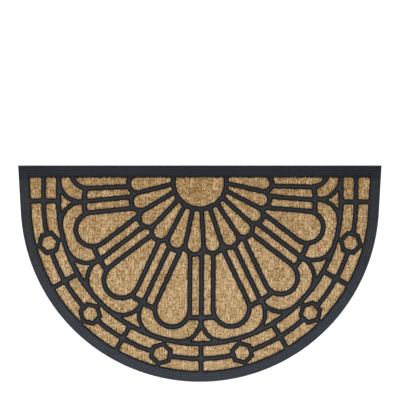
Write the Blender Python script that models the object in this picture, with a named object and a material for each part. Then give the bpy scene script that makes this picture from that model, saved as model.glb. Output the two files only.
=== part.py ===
"""Half-moon doormat: one rubber moulding with raised tracery over one woven coir panel.

The mat lies flat, its straight edge towards +Y. The origin is on the floor under the
middle of its bounding box. Plan work is done in millimetres about the tracery's centre C,
with x to the right and y towards the straight edge, and angles are measured from straight
down (-y), positive towards +x.
"""
import math
from collections import namedtuple

import bpy
from mathutils import Vector
from mathutils.geometry import delaunay_2d_cdt

MM = 0.001

# Outline of the mat
OUT_R = 370.0
EDGE_RISE = 76.5
EDGE_HALF = 375.0
BORDER = 23.0
STRAIGHT_BORDER = 25.8

# Heights above the floor
BASE_TOP = 2.5
TRACERY_UNDER = 5.5
TRACERY_TOP = 9.0
LIP_TOP = 3.4
FIELD_TOP = 7.6
CLEARANCE = 0.3

# Tracery bars: their width where they meet the coir, how much each side slopes in, how
# much the corners of the cells are rounded, and how much thinner the bars round the
# small three-sided cells are
BAR = 10.6
DRAFT = 2.1
ROUNDING = 2.5
TIP_ROUNDING = 0.8
SPANDREL_ROUNDING = 0.4
SPANDREL_THINNING = 0.9

# Ribs of the border: a bevel with grooves, the last crest a level land
RIB_PITCH = 5.6
RIB_FIRST_CREST = 1.4
RIB_GROOVES = 3
RIB_DEPTH = 1.0

# Coir panel, tucked under the border's inner lip
TUCK = 6.0

# Two ring courses inside the border
COURSE = 19.8
SECTOR = 30.0
SECTORS_A_SIDE = 3
FLOWER_BAR = 11.4

# Six-sided eyes on the bar between the two courses
EYE_COIR_R = 15.2
EYE_BAR_R = 26.4

# Hub, centred on H, and the fan of small petals round it. The fan's bars leave a point near
# the straight border's inner edge at even steps, swung sideways a little where they lean most.
# The petals' round ends lie on a circle that stands a little towards +x.
HUB_RISE = 41.5
FAN_RISE = 52.7
HUB_R = 49.3
SMALL_INNER_R = 60.2
SMALL_END_R = 130.3
SMALL_END_SHIFT = 1.5
FAN_STEP = 15.475
FAN_LEAN = 3.4
FAN_LEAN_AT = -20.0
SMALL_A_SIDE = 6

# Dividers between the big petals: inner ends about H, outer ends about C
DIVIDER_STEP_INNER = 26.1
DIVIDER_R_INNER = 144.0
DIVIDER_R_OUTER = 237.0
STRIP = 13.4
PETAL_END_R = 227.5
TOP_PETAL_X = 230.5
TOP_PETAL_END = 29.9
TOP_SLANT = 3.5

# Short cross bars that close the strips, and the shoulders of the bands round the petals
CROSS_IN_R = 232.1
CROSS_OUT_R = 243.3
SHOULDER = 39.5

# How far each divider is swung from its even place, in degrees towards +x: its start, its
# end, the shoulders past its end, and the cross bars of the courses in line with it
Swing = namedtuple("Swing", "start end shoulder cross")
SWINGS = {
    -3: Swing(0.1, -0.5, 0.0, -0.55),
    -2: Swing(0.3, -0.1, -0.4, 0.2),
    -1: Swing(0.9, 0.55, -0.4, 0.45),
    0: Swing(1.5, 0.8, -0.2, 0.4),
    1: Swing(2.5, 1.75, 0.45, 0.9),
    2: Swing(2.35, 1.65, 0.3, 0.85),
    3: Swing(0.4, 1.2, 0.5, 0.2),
}
# The same for the eye in the middle of the sector that follows each divider
EYE_SWINGS = {-3: 0.05, -2: 0.45, -1: 0.6, 0: 0.7, 1: 0.1, 2: 0.0}

# Fineness of the facets
CHORD_ERROR = 0.25
CORNER_STEPS = 2
OUTLINE_ERROR = 0.14
LARGEST_RISE = 0.5

# Slack allowed where edges only just touch, run on smoothly, or are searched along
TANGENT = 0.001
SMOOTH = 0.05
WALK_STEP = 0.25
PLATE_SLACK = 1e-6

# Colours, as linear RGB, with roughness
RUBBER_COLOUR = (0.034, 0.035, 0.040)
RUBBER_ROUGHNESS = 0.72
COIR_COLOUR = (0.42, 0.28, 0.14)
COIR_ROUGHNESS = 0.95

# Derived places and sizes
C = Vector((0.0, 0.0))
H = Vector((0.0, HUB_RISE))
CENTRE_Y = (OUT_R - EDGE_RISE) / 2
COURSE_2_OUT = OUT_R - BORDER
COURSE_2_IN = COURSE_2_OUT - COURSE
COURSE_1_OUT = COURSE_2_IN - BAR
COURSE_1_IN = COURSE_1_OUT - COURSE
FLOWER_R = COURSE_1_IN - FLOWER_BAR
BORDER_Y = EDGE_RISE - STRAIGHT_BORDER
FAN = Vector((0.0, FAN_RISE))
STRIP_FAR = BAR / 2 + STRIP
PETAL_SIDE = STRIP_FAR + BAR
LEFTWARD = Vector((-1.0, 0.0))
UPWARD = Vector((0.0, 1.0))


def outward(degrees):
    """Unit vector at an angle from straight down, positive towards +x."""
    angle = math.radians(degrees)
    return Vector((math.sin(angle), -math.cos(angle)))


def quarter_turn(v):
    return Vector((-v.y, v.x))


class Line:
    """A straight edge through a point, with the cell on the left of its direction."""

    def __init__(self, point, direction, near=None, rounding=ROUNDING):
        self.point = point
        self.direction = direction.normalized()
        self.near = near
        self.rounding = rounding

    def moved(self, inset):
        shifted = self.point + inset * quarter_turn(self.direction)
        return Line(shifted, self.direction, self.near, self.rounding)

    def foot(self, q):
        return self.point + (q - self.point).dot(self.direction) * self.direction

    def heading(self, q):
        return self.direction

    def between(self, start, end, steps):
        return []

    def steps(self, start, end, error):
        return 1


class Arc:
    """A round edge. The cell is inside the circle when side is 1, outside when it is -1."""

    def __init__(self, centre, radius, side, near=None, rounding=ROUNDING):
        self.centre = centre
        self.radius = radius
        self.side = side
        self.near = near
        self.rounding = rounding

    def moved(self, inset):
        radius = self.radius - self.side * inset
        return Arc(self.centre, radius, self.side, self.near, self.rounding)

    def foot(self, q):
        return self.centre + self.radius * (q - self.centre).normalized()

    def heading(self, q):
        return self.side * quarter_turn((q - self.centre).normalized())

    def sweep(self, start, end):
        a = start - self.centre
        b = end - self.centre
        turn = math.atan2(a.x * b.y - a.y * b.x, a.dot(b)) * self.side
        return turn if turn >= 0 else turn + 2 * math.pi

    def steps(self, start, end, error):
        step = 2 * math.acos(1 - min(error / self.radius, LARGEST_RISE))
        return max(1, math.ceil(self.sweep(start, end) / step))

    def between(self, start, end, steps):
        turn = self.sweep(start, end) * self.side
        spoke = start - self.centre
        points = []
        for i in range(1, steps):
            angle = turn * i / steps
            x = spoke.x * math.cos(angle) - spoke.y * math.sin(angle)
            y = spoke.x * math.sin(angle) + spoke.y * math.cos(angle)
            points.append(self.centre + Vector((x, y)))
        return points


def nearest(points, near):
    return min(points, key=lambda p: (p - near).length)


def either_side(middle, direction, squared, slack, near):
    """The nearer of two points either side of a middle, or None where edges pass each other by."""
    if abs(squared) < slack:
        return middle
    if squared < 0:
        return None
    reach = math.sqrt(squared) * direction
    return nearest((middle + reach, middle - reach), near)


def meet(a, b, near):
    """The point where two edges cross, or touch, that lies nearest to a given place."""
    if isinstance(a, Line) and isinstance(b, Line):
        across = a.direction.x * b.direction.y - a.direction.y * b.direction.x
        gap = b.point - a.point
        along = (gap.x * b.direction.y - gap.y * b.direction.x) / across
        return a.point + along * a.direction
    if isinstance(a, Arc) and isinstance(b, Line):
        return meet(b, a, near)
    slack = 2 * b.radius * TANGENT
    if isinstance(a, Line):
        middle = a.foot(b.centre)
        squared = b.radius ** 2 - (middle - b.centre).length_squared
        return either_side(middle, a.direction, squared, slack, near)
    span = b.centre - a.centre
    along = (a.radius ** 2 - b.radius ** 2 + span.length_squared) / (2 * span.length)
    middle = a.centre + along * span.normalized()
    squared = a.radius ** 2 - along ** 2
    return either_side(middle, quarter_turn(span.normalized()), squared, slack, near)


def corner(a, b, near, inset):
    """Points of the corner from edge a to edge b, rounded unless the two run on smoothly.

    Where a narrow inlet is left between the two, the rounding closes it.
    """
    point = meet(a, b, near)
    side = 1
    if point is not None:
        first = a.heading(point)
        second = b.heading(point)
        turn = first.x * second.y - first.y * second.x
        if a.rounding == 0 or abs(turn) < SMOOTH:
            return [meet(a.moved(inset), b.moved(inset), point)]
        side = 1 if turn > 0 else -1
    reach = side * a.rounding
    middle = meet(a.moved(reach), b.moved(reach), point or near)
    start = a.moved(inset).foot(middle)
    end = b.moved(inset).foot(middle)
    return [start] + Arc(middle, a.rounding - side * inset, side).between(start, end, CORNER_STEPS) + [end]


def loop(edges, anchor, inset, counts=None, error=CHORD_ERROR):
    """The outline of a cell, moved inwards, and the facets taken along each of its edges."""
    corners = []
    for i, edge in enumerate(edges):
        following = edges[(i + 1) % len(edges)]
        corners.append(corner(edge, following, edge.near or anchor, inset))
    shifted = [edge.moved(inset) for edge in edges]
    if counts is None:
        counts = []
        for i, edge in enumerate(shifted):
            counts.append(edge.steps(corners[i - 1][-1], corners[i][0], error))
    points = []
    for i, edge in enumerate(shifted):
        points += edge.between(corners[i - 1][-1], corners[i][0], counts[i])
        points += corners[i]
    return points, counts


def mat_outline():
    """The half-moon: a round edge that flares straight out to the ends of the straight edge."""
    tip = Vector((EDGE_HALF, EDGE_RISE))
    flare = math.degrees(math.acos(OUT_R / tip.length) - math.atan2(tip.y, tip.x))
    side = quarter_turn(outward(90.0 - flare))
    other = Vector((side.x, -side.y))
    foot = OUT_R * outward(90.0 - flare)
    other_foot = Vector((-foot.x, foot.y))
    return [
        Line(foot, side, rounding=0.0),
        Line(tip, LEFTWARD, rounding=0.0),
        Line(other_foot, other, rounding=0.0),
        Arc(C, OUT_R, 1, rounding=0.0),
    ]


def mat_loops(insets):
    """The mat's outline at several insets, all with the same number of points."""
    edges = mat_outline()
    counts = loop(edges, C, 0.0, error=OUTLINE_ERROR)[1]
    return [loop(edges, C, inset, counts)[0] for inset in insets]


def top_edge(near=None):
    """The inner edge of the straight border, which cuts the cells beside it."""
    return Line(Vector((0.0, BORDER_Y)), LEFTWARD, near)


def swing(number, hand):
    """A divider's swing, as it is seen in the right half: hand is -1 for the mirrored left half."""
    return Swing(*(hand * angle for angle in SWINGS[hand * number]))


def cross_angle(number, hand):
    return SECTOR * number + swing(number, hand).cross


def eye_angle(sector, hand):
    place = sector if hand == 1 else -1 - sector
    return SECTOR * (sector + 0.5) + hand * EYE_SWINGS[place]


def fan_bar(number, hand):
    """Angle at which a bar between two small petals leaves the fan's centre."""
    even = FAN_STEP * number
    return even + hand * FAN_LEAN * math.cos(math.radians(hand * even - FAN_LEAN_AT))


def small_petal_end(number, hand):
    """Centre and radius of a small petal's round end: number 0 is the first one right of the middle."""
    low = fan_bar(number, hand)
    high = fan_bar(number + 1, hand)
    axis = outward((low + high) / 2)
    ends = Arc(H + Vector((hand * SMALL_END_SHIFT, 0.0)), SMALL_END_R, 1)
    centre = meet(Line(FAN, axis), ends, SMALL_END_R * axis)
    spread = math.radians(high - low) / 2
    return centre, (centre - FAN).length * math.sin(spread) - BAR / 2


def divider(number, hand):
    """Both ends of the divider at a whole number of sectors."""
    turned = swing(number, hand)
    inner = H + DIVIDER_R_INNER * outward(DIVIDER_STEP_INNER * number + turned.start)
    return inner, DIVIDER_R_OUTER * outward(SECTOR * number + turned.end)


def divider_edge(number, distance, heading, hand):
    """A line beside a divider: distance is towards the next one, heading 1 runs outwards."""
    inner, outer = divider(number, hand)
    direction = (outer - inner).normalized()
    return Line(inner + distance * quarter_turn(direction), heading * direction)


def far_side(number, distance, heading, hand):
    """A line past a divider's strip, slanted beside the last divider to narrow the strip inwards."""
    if number < SECTORS_A_SIDE:
        return divider_edge(number, distance, heading, hand)
    inner, outer = divider(number, hand)
    along = (outer - inner).normalized()
    slant = math.radians(TOP_SLANT)
    direction = math.cos(slant) * along + math.sin(slant) * quarter_turn(along)
    return Line((inner + outer) / 2 + distance * quarter_turn(direction), heading * direction)


def petal_end(number, hand):
    """Centre and radius of the round end of the petal after a divider."""
    if number == SECTORS_A_SIDE:
        side = far_side(number, PETAL_SIDE + TOP_PETAL_END, 1, hand)
        upright = Line(Vector((TOP_PETAL_X, 0.0)), UPWARD)
        return meet(side, upright, H), TOP_PETAL_END
    one = divider_edge(number, PETAL_SIDE, 1, hand)
    two = divider_edge(number + 1, -PETAL_SIDE, -1, hand)
    start = meet(one, two, H)
    axis = Line(start, meet(one.moved(1.0), two.moved(1.0), H) - start)
    centre = meet(axis, Arc(C, PETAL_END_R, 1), PETAL_END_R * outward(SECTOR * (number + 0.5)))
    return centre, (centre - one.foot(centre)).length


def scallop(number, hand):
    """The outer edge of the bar round a small petal's end."""
    centre, radius = small_petal_end(number, hand)
    return Arc(centre, radius + BAR, -1)


def scallop_struck(edge, hand):
    """Number of the scallop that a side's rounded corner rests on, at its end by the hub."""
    path = edge.moved(ROUNDING)
    inwards = (path.foot(H) - path.point).normalized()
    point = path.point - 2 * BAR * inwards
    while True:
        for number in range(-SMALL_A_SIDE, SMALL_A_SIDE):
            end = scallop(number, hand)
            if (point - end.centre).length < end.radius + ROUNDING:
                return number
        point = point + WALK_STEP * inwards


def scallops(first, last, hand):
    """Concave edges along the scalloped ends of the small petals, from right to left."""
    return [scallop(number, hand) for number in range(first, last - 1, -1)]


def hub():
    half = math.sqrt(HUB_R ** 2 - (BORDER_Y - HUB_RISE) ** 2)
    edges = [
        top_edge(Vector((-half, BORDER_Y))),
        Arc(H, HUB_R, 1, Vector((half, BORDER_Y))),
    ]
    return edges, H


def small_petal(number, hand):
    low = outward(fan_bar(number, hand))
    high = outward(fan_bar(number + 1, hand))
    centre, radius = small_petal_end(number, hand)
    side = Line(FAN, low).moved(BAR / 2)
    end = Arc(centre, radius, 1)
    inner = Arc(H, SMALL_INNER_R, -1)
    if number < SMALL_A_SIDE - 1:
        return [side, end, Line(FAN, -high).moved(BAR / 2), inner], centre
    end.near = centre + Vector((radius, radius))
    return [side, end, top_edge(), inner], centre


def strip_middle(number, side, hand):
    """A place in the outer part of a strip."""
    middle = divider_edge(number, side * (BAR + STRIP) / 2, 1, hand)
    return middle.point + (CROSS_IN_R - DIVIDER_R_INNER) * middle.direction


def round_petal(side, centre, radius):
    """The edge of a strip that bends round a petal's end, where the strip is long enough for it."""
    if side.foot(centre).length > CROSS_IN_R - ROUNDING:
        return []
    return [Arc(centre, radius + BAR, -1)]


def strip_after(number, hand):
    """The straight strip of coir on the far side of a divider from the middle."""
    one = divider_edge(number, BAR / 2, 1, hand)
    two = far_side(number, STRIP_FAR, -1, hand)
    centre, radius = petal_end(number, hand)
    edges = [one, Arc(C, CROSS_IN_R, 1)] + round_petal(two, centre, radius) + [two]
    edges += scallops(scallop_struck(two, hand), scallop_struck(one, hand), hand)
    return edges, strip_middle(number, 1, hand)


def strip_before(number, hand):
    """The straight strip of coir on the near side of a divider from the middle."""
    one = divider_edge(number, -STRIP_FAR, 1, hand)
    two = divider_edge(number, -BAR / 2, -1, hand)
    centre, radius = petal_end(number - 1, hand)
    edges = [one] + round_petal(one, centre, radius) + [Arc(C, CROSS_IN_R, 1), two]
    edges += scallops(scallop_struck(two, hand), scallop_struck(one, hand), hand)
    return edges, strip_middle(number, -1, hand)


def big_petal(number, hand):
    one = divider_edge(number, PETAL_SIDE, 1, hand)
    two = divider_edge(number + 1, -PETAL_SIDE, -1, hand)
    centre, radius = petal_end(number, hand)
    edges = [one, Arc(centre, radius, 1), two]
    edges += scallops(scallop_struck(two, hand), scallop_struck(one, hand), hand)
    return edges, centre


def top_petal(hand):
    """The last petal, of which the straight border leaves only the lower part."""
    side = far_side(SECTORS_A_SIDE, PETAL_SIDE, 1, hand)
    centre, radius = petal_end(SECTORS_A_SIDE, hand)
    end = Arc(centre, radius, 1, Vector((centre.x + radius, BORDER_Y)))
    edges = [side, end, top_edge()]
    edges += scallops(SMALL_A_SIDE - 1, scallop_struck(side, hand), hand)
    return edges, Vector((centre.x, BORDER_Y - radius / 2))


def shoulder(number, side, hand, near=None):
    """The round shoulder of a band beside a divider: side 1 is the far side from the middle."""
    beside = divider_edge(number, side * (BAR / 2 + SHOULDER), 1, hand)
    turned = math.radians(swing(number, hand).shoulder)
    if number == SECTORS_A_SIDE and side == 1:
        centre = meet(beside, Line(Vector((FLOWER_R - SHOULDER, 0.0)), UPWARD), C)
        return Arc(centre + turned * FLOWER_R * UPWARD, SHOULDER, 1, near)
    centre = meet(beside, Arc(C, FLOWER_R - SHOULDER, 1), FLOWER_R * outward(SECTOR * number))
    centre = math.cos(turned) * centre + math.sin(turned) * quarter_turn(centre)
    return Arc(centre, SHOULDER, 1, near)


def band(number, hand):
    """The band of coir that wraps the round end of a big petal."""
    centre, radius = petal_end(number, hand)
    near_one = CROSS_OUT_R * outward(SECTOR * number)
    near_two = CROSS_OUT_R * outward(SECTOR * (number + 1))
    edges = [
        shoulder(number, 1, hand),
        Arc(C, FLOWER_R, 1),
        shoulder(number + 1, -1, hand, near_two),
        Arc(C, CROSS_OUT_R, -1, near_two),
        Arc(centre, radius + BAR, -1, near_one),
        Arc(C, CROSS_OUT_R, -1, near_one),
    ]
    return edges, centre


def top_band(hand):
    """The part of the last band that the straight border leaves."""
    centre, radius = petal_end(SECTORS_A_SIDE, hand)
    near_one = CROSS_OUT_R * outward(SECTOR * SECTORS_A_SIDE)
    near_top = Vector((centre.x + radius, BORDER_Y))
    edges = [shoulder(SECTORS_A_SIDE, 1, hand)]
    if edges[0].centre.y < BORDER_Y - ROUNDING:
        edges.append(Line(Vector((FLOWER_R, 0.0)), UPWARD))
    edges += [
        top_edge(near_top),
        Arc(centre, radius + BAR, -1, near_one),
        Arc(C, CROSS_OUT_R, -1, near_one),
    ]
    return edges, near_top


def spandrel(number, hand):
    """The small three-sided cell between two bands, at the foot of a divider."""
    edges = [Arc(C, FLOWER_R, 1)]
    if number == SECTORS_A_SIDE:
        edges.append(Line(Vector((FLOWER_R, 0.0)), UPWARD))
    for side in (1, -1):
        beside = shoulder(number, side, hand)
        edges.append(Arc(beside.centre, beside.radius + BAR - SPANDREL_THINNING, -1))
    for edge in edges:
        edge.rounding = SPANDREL_ROUNDING
    return edges, (FLOWER_R - BAR) * outward(SECTOR * number)


def eye_side(angle, turn, heading, size):
    """One side of a six-sided eye. Turn is the side's angle from the outward direction."""
    centre = (COURSE_1_OUT + BAR / 2) * outward(angle)
    normal = outward(angle + turn)
    apothem = size * math.cos(math.pi / 6)
    return Line(centre + apothem * normal, heading * quarter_turn(normal))


def eye(sector, hand):
    """The six-sided cell inside an eye."""
    angle = eye_angle(sector, hand)
    edges = [eye_side(angle, turn, 1, EYE_COIR_R) for turn in range(30, 390, 60)]
    return edges, (COURSE_1_OUT + BAR / 2) * outward(angle)


def inner_cell(cross, angle):
    """The cell of the inner course between a cross bar and the eye after it."""
    tip = eye_side(angle, -150, -1, EYE_BAR_R)
    tip.rounding = TIP_ROUNDING
    edges = [
        Line(C, outward(cross)).moved(BAR / 2),
        Arc(C, COURSE_1_OUT, 1),
        eye_side(angle, -90, -1, EYE_BAR_R),
        tip,
        Arc(C, COURSE_1_IN, -1),
    ]
    return edges, COURSE_1_OUT * outward((cross + angle) / 2)


def outer_cell(cross, angle):
    """The cell of the outer course between a cross bar and the eye after it."""
    edges = [
        Line(C, outward(cross)).moved(BAR / 2),
        Arc(C, COURSE_2_OUT, 1, rounding=TIP_ROUNDING),
        eye_side(angle, -30, -1, EYE_BAR_R),
        eye_side(angle, -90, -1, EYE_BAR_R),
        Arc(C, COURSE_2_IN, -1),
    ]
    return edges, COURSE_2_IN * outward((cross + angle) / 2)


def top_cross(hand):
    """The upper side of the last cross bar."""
    return Line(C, outward(cross_angle(SECTORS_A_SIDE, hand))).moved(BAR / 2)


def top_course_1(hand):
    """The straight upper end of the inner course, beside the straight border."""
    edges = [
        top_cross(hand),
        Line(Vector((COURSE_1_OUT, 0.0)), UPWARD),
        top_edge(),
        Line(Vector((COURSE_1_IN, 0.0)), -UPWARD),
    ]
    return edges, Vector((COURSE_1_IN, BORDER_Y))


def top_course_2(hand):
    """The upper end of the outer course, which flares with the mat's outline."""
    flare = mat_outline()[0].moved(BORDER)
    edges = [
        top_cross(hand),
        Line(flare.point, flare.direction),
        top_edge(),
        Line(Vector((COURSE_2_IN, 0.0)), -UPWARD),
    ]
    return edges, Vector((COURSE_2_IN, BORDER_Y))


def reflected(points, axis):
    """Points mirrored in a line through C, in an order that still runs the same way round."""
    mirrored = []
    for p in reversed(points):
        mirrored.append(2 * p.dot(axis) * axis - p)
    return mirrored


def right_half(hand):
    """Edges and anchor of every cell right of the middle, but for the cells beside the eyes."""
    half = [small_petal(number, hand) for number in range(SMALL_A_SIDE)]
    half += [strip_after(number, hand) for number in range(SECTORS_A_SIDE + 1)]
    half += [strip_before(number, hand) for number in range(1, SECTORS_A_SIDE + 1)]
    half += [big_petal(number, hand) for number in range(SECTORS_A_SIDE)] + [top_petal(hand)]
    half += [band(number, hand) for number in range(SECTORS_A_SIDE)] + [top_band(hand)]
    half += [spandrel(number, hand) for number in range(1, SECTORS_A_SIDE + 1)]
    half += [eye(sector, hand) for sector in range(SECTORS_A_SIDE)]
    return half + [top_course_1(hand), top_course_2(hand)]


def beside_eyes(hand, insets):
    """Outlines of the ring cells either side of each eye: the far ones are built mirrored."""
    cells = []
    for sector in range(SECTORS_A_SIDE):
        angle = eye_angle(sector, hand)
        before = cross_angle(sector, hand)
        after = 2 * angle - cross_angle(sector + 1, hand)
        for cell in (inner_cell, outer_cell):
            cells.append(at_insets(cell(before, angle), insets))
            cells.append(mirrored(at_insets(cell(after, angle), insets), outward(angle)))
    return cells


def at_insets(cell, insets):
    edges, anchor = cell
    counts = loop(edges, anchor, 0.0)[1]
    return [loop(edges, anchor, inset, counts)[0] for inset in insets]


def mirrored(loops, axis):
    return [reflected(points, axis) for points in loops]


def cell_loops(insets):
    """For every cell of the tracery, its outline at each of the insets."""
    cells = [at_insets(hub(), insets), at_insets(spandrel(0, 1), insets)]
    for hand in (1, -1):
        half = [at_insets(cell, insets) for cell in right_half(hand)] + beside_eyes(hand, insets)
        cells += half if hand == 1 else [mirrored(loops, UPWARD) for loops in half]
    return cells


def inside(point, polygon):
    """Whether a point lies within a polygon."""
    result = False
    for i, b in enumerate(polygon):
        a = polygon[i - 1]
        if (a.y > point.y) != (b.y > point.y):
            if point.x < a.x + (point.y - a.y) / (b.y - a.y) * (b.x - a.x):
                result = not result
    return result


class Solid:
    """Vertices and faces of one closed body, gathered level by level."""

    def __init__(self):
        self.vertices = []
        self.faces = []

    def ring(self, points, height):
        first = len(self.vertices)
        for p in points:
            self.vertices.append((p.x * MM, (p.y + CENTRE_Y) * MM, height * MM))
        return list(range(first, len(self.vertices)))

    def wall(self, lower, upper, outwards):
        """A strip between two rings: outwards 1 faces away from the rings' middle, -1 into it."""
        for i, c in enumerate(upper):
            a, b, d = lower[i - 1], lower[i], upper[i - 1]
            for triangle in ((a, b, c), (a, c, d)):
                self.faces.append(triangle if outwards == 1 else triangle[::-1])

    def plate(self, outer, holes, up):
        """A level face between an outer ring and holes: up 1 faces up, -1 faces down."""
        rings = [outer] + holes
        indices = [index for ring in rings for index in ring]
        owner = [number for number, ring in enumerate(rings) for _ in ring]
        flat = [Vector(self.vertices[index][:2]) / MM for index in indices]
        edges = []
        polygons = []
        start = 0
        for ring in rings:
            size = len(ring)
            edges += [(start + i, start + (i + 1) % size) for i in range(size)]
            polygons.append(flat[start:start + size])
            start += size
        result = delaunay_2d_cdt(flat, edges, [], 1, PLATE_SLACK)
        source = [found[0] for found in result[3]]
        for face in result[2]:
            corners = [source[v] for v in face]
            owners = {owner[v] for v in corners}
            middle = sum((flat[v] for v in corners), Vector((0.0, 0.0))) / 3
            if len(owners) == 1 and inside(middle, polygons[owners.pop()]) != (owner[corners[0]] == 0):
                continue
            triangle = tuple(indices[v] for v in corners)
            self.faces.append(triangle if up == 1 else triangle[::-1])

    def finish(self, name, material):
        mesh = bpy.data.meshes.new(name)
        mesh.from_pydata(self.vertices, [], self.faces)
        mesh.validate()
        mesh.materials.append(material)
        thing = bpy.data.objects.new(name, mesh)
        bpy.context.scene.collection.objects.link(thing)
        return thing


def plain_material(name, colour, roughness):
    material = bpy.data.materials.new(name)
    material.use_nodes = True
    shader = material.node_tree.nodes["Principled BSDF"]
    shader.inputs["Base Color"].default_value = (*colour, 1.0)
    shader.inputs["Roughness"].default_value = roughness
    shader.inputs["Metallic"].default_value = 0.0
    return material


def border_profile():
    """Inset and height of each fold of the ribbed border, from its lip to its land."""
    land = RIB_FIRST_CREST + RIB_GROOVES * RIB_PITCH
    slope = (TRACERY_TOP - LIP_TOP) / land
    folds = [(0.0, LIP_TOP)]
    for groove in range(RIB_GROOVES):
        crest = RIB_FIRST_CREST + groove * RIB_PITCH
        valley = crest + RIB_PITCH / 2
        folds.append((crest, LIP_TOP + slope * crest))
        folds.append((valley, LIP_TOP + slope * valley - RIB_DEPTH))
    folds.append((land, TRACERY_TOP))
    return folds


def rubber_moulding(cells):
    """Base sheet, ribbed border and tracery in one piece, hollow where the coir lies."""
    folds = border_profile()
    cavity_inset = BORDER - TUCK
    outlines = mat_loops([inset for inset, height in folds] + [cavity_inset])
    solid = Solid()
    bottom = solid.ring(outlines[0], 0.0)
    solid.plate(bottom, [], -1)
    previous = bottom
    for outline, (inset, height) in zip(outlines, folds):
        current = solid.ring(outline, height)
        solid.wall(previous, current, 1)
        previous = current
    tops = []
    unders = []
    for wide, true, snug in cells:
        tops.append(solid.ring(wide, TRACERY_TOP))
        unders.append(solid.ring(true, TRACERY_UNDER))
        solid.wall(unders[-1], tops[-1], -1)
    solid.plate(previous, tops, 1)
    ceiling = solid.ring(outlines[-1], TRACERY_UNDER)
    floor = solid.ring(outlines[-1], BASE_TOP)
    solid.plate(ceiling, unders, -1)
    solid.wall(floor, ceiling, -1)
    solid.plate(floor, [], 1)
    return solid


def coir_panel(cells):
    """One panel under the whole tracery, standing up through every cell."""
    outline = mat_loops([BORDER - TUCK + CLEARANCE])[0]
    solid = Solid()
    bottom = solid.ring(outline, BASE_TOP + CLEARANCE)
    shoulder = solid.ring(outline, TRACERY_UNDER - CLEARANCE)
    solid.plate(bottom, [], -1)
    solid.wall(bottom, shoulder, 1)
    feet = []
    for wide, true, snug in cells:
        feet.append(solid.ring(snug, TRACERY_UNDER - CLEARANCE))
        top = solid.ring(snug, FIELD_TOP)
        solid.wall(feet[-1], top, 1)
        solid.plate(top, [], 1)
    solid.plate(shoulder, feet, 1)
    return solid


def main():
    for thing in list(bpy.data.objects):
        bpy.data.objects.remove(thing)
    cells = cell_loops((-DRAFT, 0.0, CLEARANCE))
    rubber = plain_material("black_rubber", RUBBER_COLOUR, RUBBER_ROUGHNESS)
    coir = plain_material("woven_coir", COIR_COLOUR, COIR_ROUGHNESS)
    rubber_moulding(cells).finish("rubber_moulding", rubber)
    coir_panel(cells).finish("coir_panel", coir)


main()
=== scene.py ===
"""Half-moon doormat, dressed: a moulded rubber border and tracery over woven coir yarn.

Plan work is done in millimetres about the tracery's centre C, with x to the right and y
towards the straight edge, and angles are measured from straight down (-y), positive
towards +x. The coir is real yarn in a basket weave, pairs of warp yarns over and under pairs
of weft yarns, with loose fibres lying on it. Places in the materials are in metres.
"""

import math
from collections import namedtuple

import bpy
import numpy as np
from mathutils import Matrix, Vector
from mathutils.geometry import delaunay_2d_cdt
from mathutils.kdtree import KDTree


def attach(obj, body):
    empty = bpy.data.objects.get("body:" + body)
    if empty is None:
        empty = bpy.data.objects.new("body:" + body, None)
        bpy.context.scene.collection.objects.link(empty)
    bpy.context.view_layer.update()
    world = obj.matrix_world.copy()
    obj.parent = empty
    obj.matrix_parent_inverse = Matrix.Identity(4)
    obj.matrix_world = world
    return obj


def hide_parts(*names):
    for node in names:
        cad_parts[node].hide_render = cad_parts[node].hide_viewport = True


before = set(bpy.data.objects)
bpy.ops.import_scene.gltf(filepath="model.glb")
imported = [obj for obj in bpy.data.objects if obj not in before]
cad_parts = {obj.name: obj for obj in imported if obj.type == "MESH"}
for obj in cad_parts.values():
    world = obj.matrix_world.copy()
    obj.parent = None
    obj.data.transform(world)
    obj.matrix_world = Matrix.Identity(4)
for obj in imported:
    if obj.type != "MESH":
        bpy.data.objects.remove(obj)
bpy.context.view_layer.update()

MM = 0.001

# Outline of the mat
OUT_R = 370.0
EDGE_RISE = 76.5
EDGE_HALF = 375.0
BORDER = 23.0
STRAIGHT_BORDER = 25.8

# Heights above the floor
BASE_TOP = 2.5
TRACERY_UNDER = 5.5
TRACERY_TOP = 9.0
LIP_TOP = 3.4

# Tracery bars: their width where they meet the coir, how much the corners of the cells are
# rounded, and how much thinner the bars round the small three-sided cells are
BAR = 10.6
ROUNDING = 2.5
TIP_ROUNDING = 0.8
SPANDREL_ROUNDING = 0.4
SPANDREL_THINNING = 0.9

# Ribs of the border: a bevel with grooves, narrower than the crests, the last crest a level land
RIB_PITCH = 5.6
RIB_FIRST_CREST = 1.4
RIB_GROOVES = 3
RIB_DEPTH = 1.0
RIB_STEPS = 8
RIB_SWELL = 0.5
RIB_NARROWING = 1.5

# Coir panel, tucked under the border's inner lip
TUCK = 6.0

# Two ring courses inside the border
COURSE = 19.8
SECTOR = 30.0
SECTORS_A_SIDE = 3
FLOWER_BAR = 11.4

# Six-sided eyes on the bar between the two courses
EYE_COIR_R = 15.2
EYE_BAR_R = 26.4

# Hub, centred on H, and the fan of small petals round it. The fan's bars leave a point near
# the straight border's inner edge at even steps, swung sideways a little where they lean most.
# The petals' round ends lie on a circle that stands a little towards +x.
HUB_RISE = 41.5
FAN_RISE = 52.7
HUB_R = 49.3
SMALL_INNER_R = 60.2
SMALL_END_R = 130.3
SMALL_END_SHIFT = 1.5
FAN_STEP = 15.475
FAN_LEAN = 3.4
FAN_LEAN_AT = -20.0
SMALL_A_SIDE = 6

# Dividers between the big petals: inner ends about H, outer ends about C
DIVIDER_STEP_INNER = 26.1
DIVIDER_R_INNER = 144.0
DIVIDER_R_OUTER = 237.0
STRIP = 13.4
PETAL_END_R = 227.5
TOP_PETAL_X = 230.5
TOP_PETAL_END = 29.9
TOP_SLANT = 3.5

# Short cross bars that close the strips, and the shoulders of the bands round the petals
CROSS_IN_R = 232.1
CROSS_OUT_R = 243.3
SHOULDER = 39.5

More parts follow.
